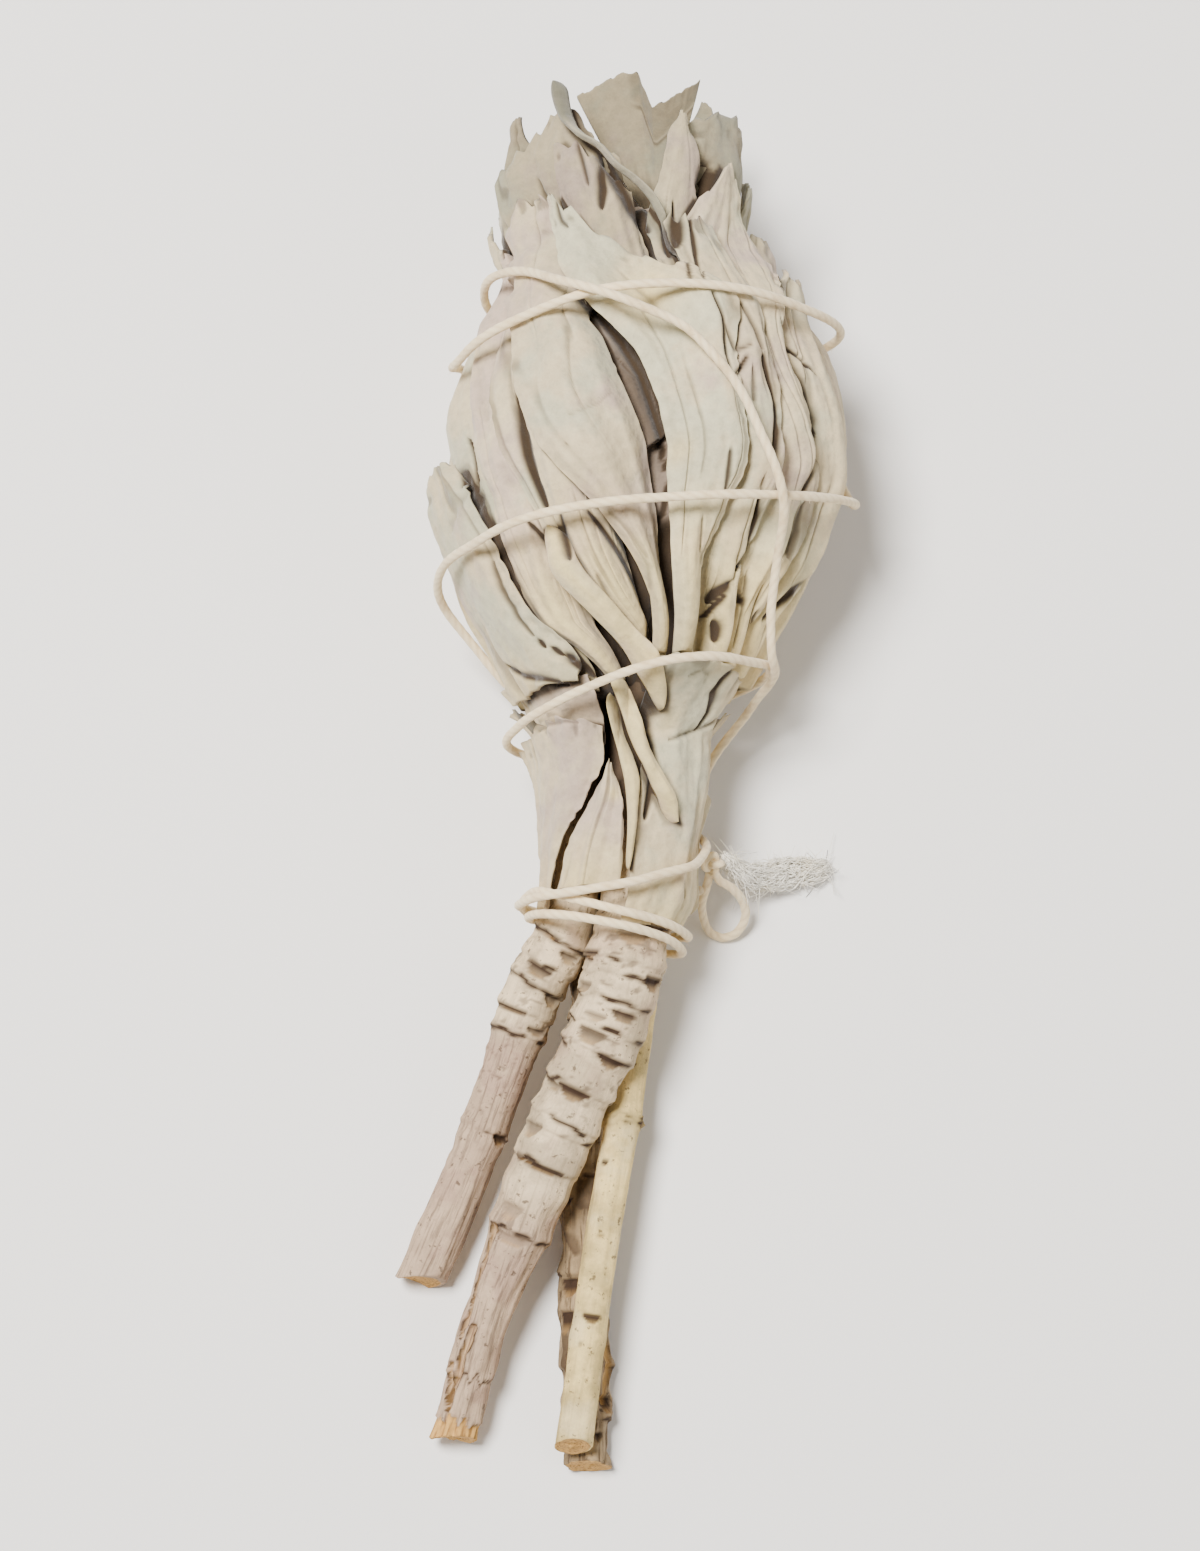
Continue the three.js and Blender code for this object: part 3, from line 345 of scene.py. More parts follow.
def smooth_line(points, step):
    """Points at even steps along the Catmull-Rom curve through the given ones."""
    points = np.asarray(points, float)
    ends = np.vstack([2 * points[0] - points[1], points, 2 * points[-1] - points[-2]])
    dense = []
    for p0, p1, p2, p3 in zip(ends, ends[1:], ends[2:], ends[3:]):
        for t in np.arange(0, 1, CURVE_SHARE):
            dense.append(
                0.5 * (2 * p1 + (p2 - p0) * t + (2 * p0 - 5 * p1 + 4 * p2 - p3) * t**2
                       + (3 * p1 - p0 - 3 * p2 + p3) * t**3)
            )
    dense.append(points[-1])
    return even_steps(np.array(dense), step)


def even_steps(line, step):
    walked = distances_along(line)
    count = max(2, int(round(walked[-1] / step)) + 1)
    at = np.linspace(0, walked[-1], count)
    return np.stack([np.interp(at, walked, line[:, k]) for k in range(3)], 1)


# ---- the bunch's outline
HEAD_Y = 42  # station of the fattest part of the head
HEAD_AXIS_HEIGHT = 24.6  # height of the bunch's axis there
AXIS_RISE = 0.14  # the axis climbs this much per millimetre towards the head
TWINE_SQUEEZE = 0.8  # how far the twine pulls the leaves in
TWINE_SQUEEZE_REACH = 7  # and over what distance along the bunch

centre_x = through([
    (-45, -2), (-28, 0.6), (-21, 2.2), (-14, 2.7), (0, 3.2), (14, 3.4), (27, 4.5), (41, 6.3), (55, 6.7),
    (62, 5.6), (68, 4.2), (78, 3.8), (98, 5),
])
half_width = through([
    (-45, 9), (-28, 9.8), (-21, 10.8), (-14, 11.3), (-7, 12), (0, 13.2), (6, 15.6), (13, 20.1), (20, 24.4),
    (27, 27), (34, 27.7), (41, 27.6), (48, 26.7), (54, 25), (61, 20.5), (65, 18.4), (70, 17.9), (76, 17.5),
    (82, 16), (98, 15),
])
roundness = through([(-20, 1), (5, 0.95), (35, 0.88), (60, 0.9), (90, 0.9)])  # height over width


def axis_height(y):
    return HEAD_AXIS_HEIGHT + AXIS_RISE * (y - HEAD_Y)


def arc(y):
    """Millimetres round the bunch for one degree, at a station."""
    return np.radians(half_width(y))


# ---- the pile
LOWEST_Y = -33
ROW_STEP = 1.5
ROWS = 91
COLUMN_STEP = 3
COLUMNS = 120
STATIONS = (LOWEST_Y + ROW_STEP * np.arange(ROWS))[:, None]
TURNS = (COLUMN_STEP * np.arange(COLUMNS))[None, :]


def sample(field, y, phi):
    """Value of a field between its cells."""
    r = np.clip((y - LOWEST_Y) / ROW_STEP, 0, ROWS - 1.001)
    c = (phi % 360) / COLUMN_STEP
    row, column = np.floor(r).astype(int), np.floor(c).astype(int)
    fr, fc = r - row, c - column
    column, following = column % COLUMNS, (column + 1) % COLUMNS
    low = field[row, column] * (1 - fc) + field[row, following] * fc
    high = field[row + 1, column] * (1 - fc) + field[row + 1, following] * fc
    return low * (1 - fr) + high * fr


def sweep(field, reach, axis, combine):
    """One pass of a running filter along the stations (axis 0) or round the turns (axis 1)."""
    margins = [(reach, reach) if k == axis else (0, 0) for k in (0, 1)]
    padded = np.pad(field, margins, mode="edge" if axis == 0 else "wrap")
    count = field.shape[axis]
    return combine([np.take(padded, range(k, k + count), axis) for k in range(2 * reach + 1)], axis=0)


def drape(field, reach):
    """The smooth surface that a new leaf lies on: nowhere below the pile."""
    raised = sweep(sweep(field, reach, 0, np.max), reach, 1, np.max)
    return sweep(sweep(raised, reach, 0, np.mean), reach, 1, np.mean)


# ---- the leaves
TORN = 0.45  # how ragged the trimmed tips are
PLEATED = 2.3  # how close a leaf's sharp creases lie, unless it says so
PLEAT_WIDTH = 0.03
TINT_SEED, HUE_SEED = 900, 901
# Rows and columns of a blade's mesh: of the broad leaves in front, of most, and of those nearly hidden.
LARGE, FINE, COARSE = (132, 96), (120, 66), (60, 21)


class Leaf:
    """A leaf's shape over the pile, in u from -1 at its right edge to 1 at its left one, and y.

    base: the station of the cut of the stalk. top: the stations of the trimmed tip, from the right edge to
    the left one. edges: rows of (station, angle of the right edge, angle of the left edge). stalk: where the
    stalk has flattened into the blade. puff: how far the blade bulges, flare: how far the tip turns out.
    teeth: depth and number of the notches of the tip. drape: how far it bridges a step beneath it. pleated:
    how close its sharp creases lie. mesh: its rows and columns. shade: how much lighter than others it is
    painted; below 0 it is painted shade, for the leaves of the tuft and the flank that lie in shade.
    hue: from lilac, -1, to green, 1, or by chance. ends: how deep a stalk's ends sink in, over how many mm,
    and the share of its width at its foot.
    """

    def __init__(self, name, base, top, edges, stalk=None, puff=1, flare=0, teeth=(0.8, 4), thick=1.8,
                 drape=2, seed=1, pleated=PLEATED, mesh=FINE, shade=0, hue=None, ends=None):
        self.name, self.base, self.puff, self.flare, self.thick = name, base, puff, flare, thick
        self.stalk = base + 10 if stalk is None else stalk
        self.is_stalk = self.stalk > max(top)
        self.seed, self.reach, self.teeth, self.pleated = seed, drape, teeth, pleated
        self.right = through([(row[0], row[1]) for row in edges])
        self.left = through([(row[0], row[2]) for row in edges])
        self.top = through([(-1 + 2 * i / 3, y) for i, y in enumerate(top)])
        self.shift, self.mesh, self.ends = first_random(seed), mesh, ends
        # a random tone of the felt, plus the leaf's painted shade
        self.tone_and_shade = (first_random(seed + TINT_SEED) * 2 - 1) * 0.6 + shade
        self.hue = first_random(seed + HUE_SEED) * 1.6 - 0.8 if hue is None else hue

    def noise(self, x, y, stream=0):
        return noise(x, y, self.seed + stream)

    def tooth(self, u):
        depth, count = self.teeth
        saw = np.abs(((u + 1) / 2 * count + self.shift) % 1 * 2 - 1) * 2 - 1
        return depth * saw * (0.7 + 0.3 * np.sin(4 * u + self.seed))

    def tip_at(self, u):
        return self.top(u) + self.tooth(u)

    def y_at(self, u, v):
        """The station at a share v of the way from the cut to the tip."""
        torn = 0.0 if self.is_stalk else TORN * self.noise(u * 9, 0 * u, 5) * v**10
        return self.base + (self.top(u) - self.base) * v + self.tooth(u) * v**8 + torn

    def middle(self, y):
        return (self.right(y) + self.left(y)) / 2

    def half(self, y):
        return (self.left(y) - self.right(y)) / 2

    def stalkiness(self, y):
        return 1 - ease(self.stalk - 8, self.stalk, y)

    def thickness(self, u, y, blade):
        return blade + (self.thick - blade) * self.stalkiness(y) * (1 - 0.6 * u * u)

    def crown(self, u, v):
        """How far the smooth blade bulges and its tip turns out."""
        bulge = np.sqrt(np.sin(np.pi * (np.clip(v, 0, 1) * 0.9 + 0.05)))
        return self.puff * (1 - u * u) * bulge + self.flare * ease(0.86, 1, v)

    def relief(self, u, y, sizes):
        """The folds, rib and dents of the blade and the lift of its edges, over its smooth crown."""
        across = u * self.half(y) * arc(y)
        if self.is_stalk:
            round_back = 0.55 * np.sqrt(np.clip(1 - u * u, 0, 1)) - 0.2
            return round_back + 0.12 * self.noise(across / 0.5, y / 7)
        edge = np.abs(u) ** 5
        folds = self.folds(u, y, across) * sizes.fold / MM
        folded = (folds - self.pleats(u, y) * sizes.pleat / MM) * (1 - edge)
        dents = self.noise(across / 1.1, y / 1.6, 2)
        dents = dents + 0.5 * self.noise(across / 0.6, y / 0.8, 3)
        lift = edge * (self.along_edge(u, y) * 0.55 + 0.15) * sizes.lift / MM
        whole = self.rib(across, y) * sizes.rib / MM + folded + dents * sizes.rumple / MM + lift
        return (1 - self.stalkiness(y)) * whole

    def rib(self, across, y):
        """The rib from the stalk into the blade, with a trough on each side, as a share of its height."""
        ridge = np.exp(-((across / 0.9) ** 2)) - 0.6 * np.exp(-(((np.abs(across) - 1.9) / 0.8) ** 2))
        return ridge * (1 - ease(self.stalk + 4, self.stalk + 22, y))

    def folds(self, u, y, across):
        """Long folds that fan out over the blade, and short ones between them."""
        fans = self.noise(u * 2.6, y / 19) + 0.6 * self.noise(u * 6, y / 11, 1)
        short = 0.5 * self.noise(across / 2.2 + y / 31, y / 9, 9)
        return fans * np.clip(self.half(y) * arc(y) / 9, 0, 1) + short

    def along_edge(self, u, y):
        """The waves of the right edge where u is below 0, and of the left one elsewhere."""
        right = self.noise(0 * y, y / 7, 7)
        left = self.noise(0 * y + 3, y / 7, 8)
        return np.where(u < 0, right, left)

    def pleats(self, u, y):
        """Where sharp creases run along the blade, from 0 to 1."""
        if self.is_stalk:
            return 0 * u * y
        field = self.noise(u * self.pleated + 0.5 * self.noise(0 * y, y / 13, 12), y / 34, 10)
        here = ease(-0.1, 0.35, self.noise(u * 2, y / 12, 11) + 0.1 * (self.pleated - PLEATED))
        sharp = np.exp(-((field / PLEAT_WIDTH / self.pleated) ** 2))
        return sharp * here * (1 - 0.5 * self.stalkiness(y))

    def lay_on(self, pile, blade, clearance):
        """Keeps the surface that it lies on, and raises the pile by the leaf."""
        self.beneath, self.bed = pile.copy(), drape(pile, self.reach)
        half = self.half(STATIONS)
        away = turn_between(self.middle(STATIONS), TURNS)
        u = np.clip(away / half, -1, 1)
        inside = (STATIONS >= self.base - ROW_STEP) & (np.abs(away) <= half + COLUMN_STEP)
        inside &= STATIONS <= self.tip_at(u) + ROW_STEP
        v = (STATIONS - self.base) / (self.tip_at(u) - self.base)
        y = STATIONS + 0 * u
        height = self.bed + clearance + self.crown(u, v) + self.thickness(u, y, blade)
        pile[inside] = np.maximum(pile, height)[inside]


def underside_leaf(name, base, tip, phi, wide, seed):
    """A leaf whose middle runs straight up the head at one angle, wide in degrees at the belly."""
    return Leaf(name, base, (tip - 1.5, tip + 0.5, tip, tip - 2), [
        (base, phi - wide * 0.24, phi + wide * 0.24), (base + 8, phi - wide * 0.3, phi + wide * 0.32),
        (base + 18, phi - wide * 0.72, phi + wide * 0.7), (base + 32, phi - wide, phi + wide * 0.95),
        (tip - 16, phi - wide * 0.95, phi + wide), (tip, phi - wide * 0.8, phi + wide * 0.85),
    ], seed=seed, mesh=COARSE)


def leaf_stalk(name, base, tip, edges, **options):
    """A thick round leaf stalk without a blade."""
    return Leaf(name, base, 4 * (tip,), edges, stalk=120, puff=0, teeth=(0, 1), **options)


# The outer leaves of the underside: (station of the cut, station of the tip, angle, width).
UNDER_LEAVES = [
    (6.2, 70, 214, 23), (5.8, 73, 258, 23), (6.4, 71, 302, 23), (6.6, 66, 343, 20),
    (5.6, 74, 196, 20), (6, 69, 236, 23), (6.4, 72, 280, 23), (6.2, 68, 323, 22),
]


def make_leaves():
    """The leaves in the order they are laid, from the inside out."""
    return [
        # The small leaves that stand highest, in the middle of the tuft.
        Leaf("tuft_leaf_1", 46, (77, 83, 87, 85), [(46, 240, 288), (70, 236, 293), (86, 238, 290)], seed=11,
             stalk=48, teeth=(0.6, 3), mesh=COARSE, shade=-3.9),
        Leaf("tuft_leaf_2", 46, (86, 89, 90, 87), [(46, 296, 336), (70, 292, 338), (86, 286, 322),
             (90, 288, 318)], seed=12, stalk=48, teeth=(0.4, 3), mesh=COARSE, shade=-3.5),
        Leaf("tuft_leaf_3", 46, (82, 84, 83, 80), [(46, 20, 80), (70, 12, 72), (84, 10, 60)], seed=13,
             stalk=48, mesh=COARSE, shade=-3.5),
        Leaf("tuft_leaf_4", 46, (76, 78, 80, 79), [(46, 96, 150), (70, 92, 152), (80, 96, 148)], seed=14,
             stalk=48, mesh=COARSE, shade=-3.3, hue=0.2),
        Leaf("tuft_leaf_5", 46, (82, 83, 82, 79), [(46, 166, 222), (70, 166, 224), (83, 172, 214)], seed=15,
             stalk=48, mesh=COARSE, shade=-3.3),
        # The leaves round them.
        Leaf("ring_leaf_1", 38, (90, 94.2, 90.5, 86), [(38, 302, 354), (62, 296, 350), (80, 300, 325),
             (90, 303, 319)], seed=21, stalk=42, teeth=(0.7, 3), shade=-2.9),
        Leaf("ring_leaf_2", 38, (82, 84, 82, 78), [(38, 240, 300), (62, 240, 298), (84, 246, 292)], seed=22,
             stalk=42, mesh=COARSE, shade=-3.1),
        Leaf("ring_leaf_3", 38, (79, 82, 83, 80), [(38, 190, 246), (62, 188, 246), (83, 196, 238)], seed=23,
             stalk=42, mesh=COARSE, shade=-2.9),
        Leaf("ring_leaf_4", 38, (76, 78, 77, 74), [(38, -22, 32), (62, -24, 26), (72, -22, 18), (78, -14, 8)],
             seed=24, stalk=42, teeth=(0.6, 3), shade=-3.1, hue=0.2),
        Leaf("rolled_leaf", 52, (81, 84.8, 84.8, 81.5), [(52, 158, 188), (66, 156, 184), (76, 154, 175),
             (85, 158, 166)], seed=25, stalk=54, puff=2.2, teeth=(0, 1), shade=-4.3),
        Leaf("ring_leaf_5", 38, (77.5, 84, 80, 76), [(38, 118, 170), (62, 112, 170), (76, 104, 166),
             (83, 106, 158)], seed=26, stalk=42, teeth=(0.9, 7), mesh=LARGE, shade=-2.6, hue=0.1),
        Leaf("ring_leaf_6", 38, (71, 74, 77, 78), [(38, 80, 132), (62, 84, 126), (78, 92, 124)], seed=27,
             stalk=42, shade=-2.5, hue=-1.4),
        Leaf("folded_tip", 42, (78, 81.6, 81.8, 79), [(42, 44, 84), (66, 48, 82), (70, 52, 79), (73, 54, 75),
             (78, 58.5, 71.5), (81.8, 62.5, 67.5)], seed=28, stalk=46, teeth=(0, 1), shade=-2.3, hue=0.1),
        leaf_stalk("rolled_stalk", 60, 86, [(60, 67, 76), (65.3, 71, 77.5), (67.5, 74.5, 80.5),
             (69.3, 78, 84), (71.3, 84, 90.5), (73.2, 92, 98), (75.6, 98, 104), (77.3, 105, 111.5),
             (81, 113.5, 121), (86, 118.5, 128.5)], seed=29, thick=2.2),
        *[underside_leaf(f"under_leaf_{k}", *row, 30 + k) for k, row in enumerate(UNDER_LEAVES, 1)],
        # The left side.
        Leaf("left_leaf_1", 5, (65, 67, 70, 72), [(5, 109, 122), (8, 112, 128), (13, 120, 146),
             (21, 126, 158), (30, 132, 170), (38, 140, 178), (46, 148, 186), (54, 156, 190), (62, 162, 192),
             (72, 166, 190)], seed=41, pleated=5),
        Leaf("left_leaf_2", 6.6, (62, 64, 66, 66), [(6.6, 89, 102), (10, 98, 116), (13, 106, 129),
             (21, 112, 136), (29, 114, 142), (36, 120, 150), (44, 128, 158), (52, 138, 164), (59, 146, 168),
             (66, 150, 170)], seed=42, pleated=5, mesh=LARGE, hue=-1.1),
        Leaf("left_leaf_3", 10, (60, 62, 63, 62), [(10, 82, 92), (15, 94, 109), (21, 100, 118),
             (28, 102, 125), (35, 106, 133), (43, 112, 142), (50, 122, 147), (57, 128, 149), (63, 134, 150)],
             seed=43, pleated=4.5, mesh=LARGE, hue=-0.2),
        Leaf("left_leaf_4", 9, (57, 58, 58, 56), [(9, 69, 80), (15, 83, 100), (22, 92, 112), (28, 97, 117),
             (34, 101, 121), (41, 107, 128), (49, 116, 134), (58, 126, 142)], seed=44, pleated=4, mesh=LARGE),
        # The right side.
        Leaf("right_leaf_1", 8, (64, 67, 70, 70), [(8, -12, 4), (16, -15, 13), (26, -18, 16), (36, -18, 17),
             (46, -14, 22), (56, -16, 18), (64, -26, 10), (70, -32, 2)], seed=46, pleated=5, hue=-0.8),
        Leaf("right_leaf_2", 8.2, (62, 62, 61, 58), [(8, 10, 22), (15, 10, 34), (24, 4, 34), (33, 4, 34),
             (42, 10, 42), (50, 14, 44), (56, 12, 42), (62.5, 6, 34)], seed=47, pleated=5.5, teeth=(1.6, 3),
             flare=2.2, mesh=LARGE),
        Leaf("right_leaf_3", 8.4, (73, 76, 75.4, 70), [(8, 26, 38), (12, 28, 46), (18, 27, 48), (25, 24, 48),
             (33, 25, 50), (39, 32, 56), (45, 38, 62), (52, 40, 66), (60, 32, 71), (64, 26, 73), (68, 23, 64),
             (72, 27, 55), (76, 34, 48)], seed=48, pleated=4, teeth=(0.3, 3), mesh=LARGE, hue=-0.1),
        Leaf("right_leaf_4", 8.4, (64, 66, 66, 66), [(8, 39, 48), (15, 43, 56), (21, 46, 60), (26, 45, 62),
             (32, 44, 62), (39, 48, 66), (47, 52, 69), (54, 53, 72), (60, 54, 76), (66, 56, 78)], seed=49,
             pleated=4.5, mesh=LARGE, hue=0.3),
        # The two broad leaves in front, with a gap like an eye between them.
        Leaf("front_left_leaf", 8.6, (63, 70, 71.5, 67), [(8, 68, 76), (13, 72, 79), (17, 76, 83.5),
             (25, 81, 99), (30.5, 85, 111), (36, 90, 120.5), (41.5, 97, 126.5), (48, 104, 131.5),
             (54.5, 113, 138), (61, 112, 150), (71, 112, 160)], seed=45, teeth=(1.2, 4), stalk=18, mesh=LARGE,
             hue=-0.1),
        Leaf("front_right_leaf", 8.6, (57, 61, 66.5, 71.5), [(8, 58, 67.5), (13, 61, 71.5), (18, 62.5, 75.5),
             (27, 60, 79), (33, 58.5, 81.5), (40, 62, 87), (46.5, 64, 94), (53.5, 63, 109.5), (60, 74, 121),
             (71, 92, 128)], seed=50, teeth=(1.1, 5), stalk=20, mesh=LARGE, hue=0.9),
        Leaf("left_collar_leaf", -2, (6.4, 7, 7, 6.4), [(-2, 106, 192), (3, 108, 190), (7, 112, 188)],
             seed=52, teeth=(0, 1), stalk=-4, puff=0.5, hue=-1.5),
        Leaf("left_flank_leaf", 5.4, (36, 36, 34, 28), [(5.4, 115, 184), (8, 113, 186), (14, 128, 186),
             (21, 137, 188), (29, 147, 188), (36, 160, 182)], seed=51, pleated=4, teeth=(0, 1), stalk=2,
             mesh=LARGE, shade=-0.7, hue=0.7),
        # The neck.
        Leaf("neck_leaf_1", -22, (5, 5.4, 5, 4.6), [(-22, 196, 240), (-8, 194, 240), (6, 192, 240)],
             stalk=-23, puff=0.4, seed=61, mesh=COARSE),
        Leaf("neck_leaf_2", -22, (5, 5.4, 5.4, 5), [(-22, 298, 346), (-8, 292, 346), (6, 290, 344)],
             stalk=-23, puff=0.4, seed=62, mesh=COARSE),
        Leaf("neck_leaf_3", -21, (4.6, 5.2, 5, 4.4), [(-21, 246, 292), (-8, 246, 290), (6, 246, 290)],
             stalk=-23, puff=0.4, seed=63, mesh=COARSE),
        Leaf("neck_leaf_4", -21, (-8, -5, -4.6, -7), [(-21, 87, 143), (-17, 87, 136), (-12, 88, 121.5),
             (-9.5, 89, 113), (-4.8, 97, 102)], stalk=-23, puff=0.4, seed=64, teeth=(0, 1)),
        Leaf("neck_leaf_5", -23, (0.4, 0.8, 0.4, 0), [(-23, 154, 196), (-18, 147, 196), (-14, 136, 196),
             (-10, 118, 196), (-5, 105, 194), (0.8, 104, 192)], stalk=-24, puff=0.5, seed=65, teeth=(0, 1),
             mesh=LARGE, hue=-0.5),
        Leaf("neck_leaf_6", -25.9, (6.4, 7.4, 7.8, 7.6), [(-25.9, -6, 80), (-18, -14, 80.5), (-13.5, -14, 78),
             (-8.5, -12, 76), (-2, -4, 74), (4, 6, 76), (8, 14, 76)], stalk=-27, puff=0.6, seed=66,
             teeth=(0, 1), mesh=LARGE, hue=0.5),
        leaf_stalk("leaf_stalk_1", -19, 4.2, [(-19, 79.5, 85), (-12, 79, 86), (-8, 78, 88), (-4, 82, 93),
             (-0.5, 90, 98), (4.5, 96, 103)], drape=1, seed=68, thick=1.6, ends=(1.6, 6, 0.8)),
        leaf_stalk("leaf_stalk_2", -12.4, 6.4, [(-12.4, 42, 55), (-8.2, 57, 69.5), (-4, 69, 81),
             (1.5, 80.5, 91.5), (6, 88, 99.5)], drape=1, seed=67, thick=2, ends=(1.3, 4, 0.9)),
        leaf_stalk("leaf_stalk_3", 2, 24, [(2, 60, 74), (5, 69, 84), (8.5, 78, 92), (13, 92, 104),
             (18, 104, 115), (24, 112, 120)], drape=1, seed=69, thick=2, ends=(2.4, 7, 0.6)),
    ]
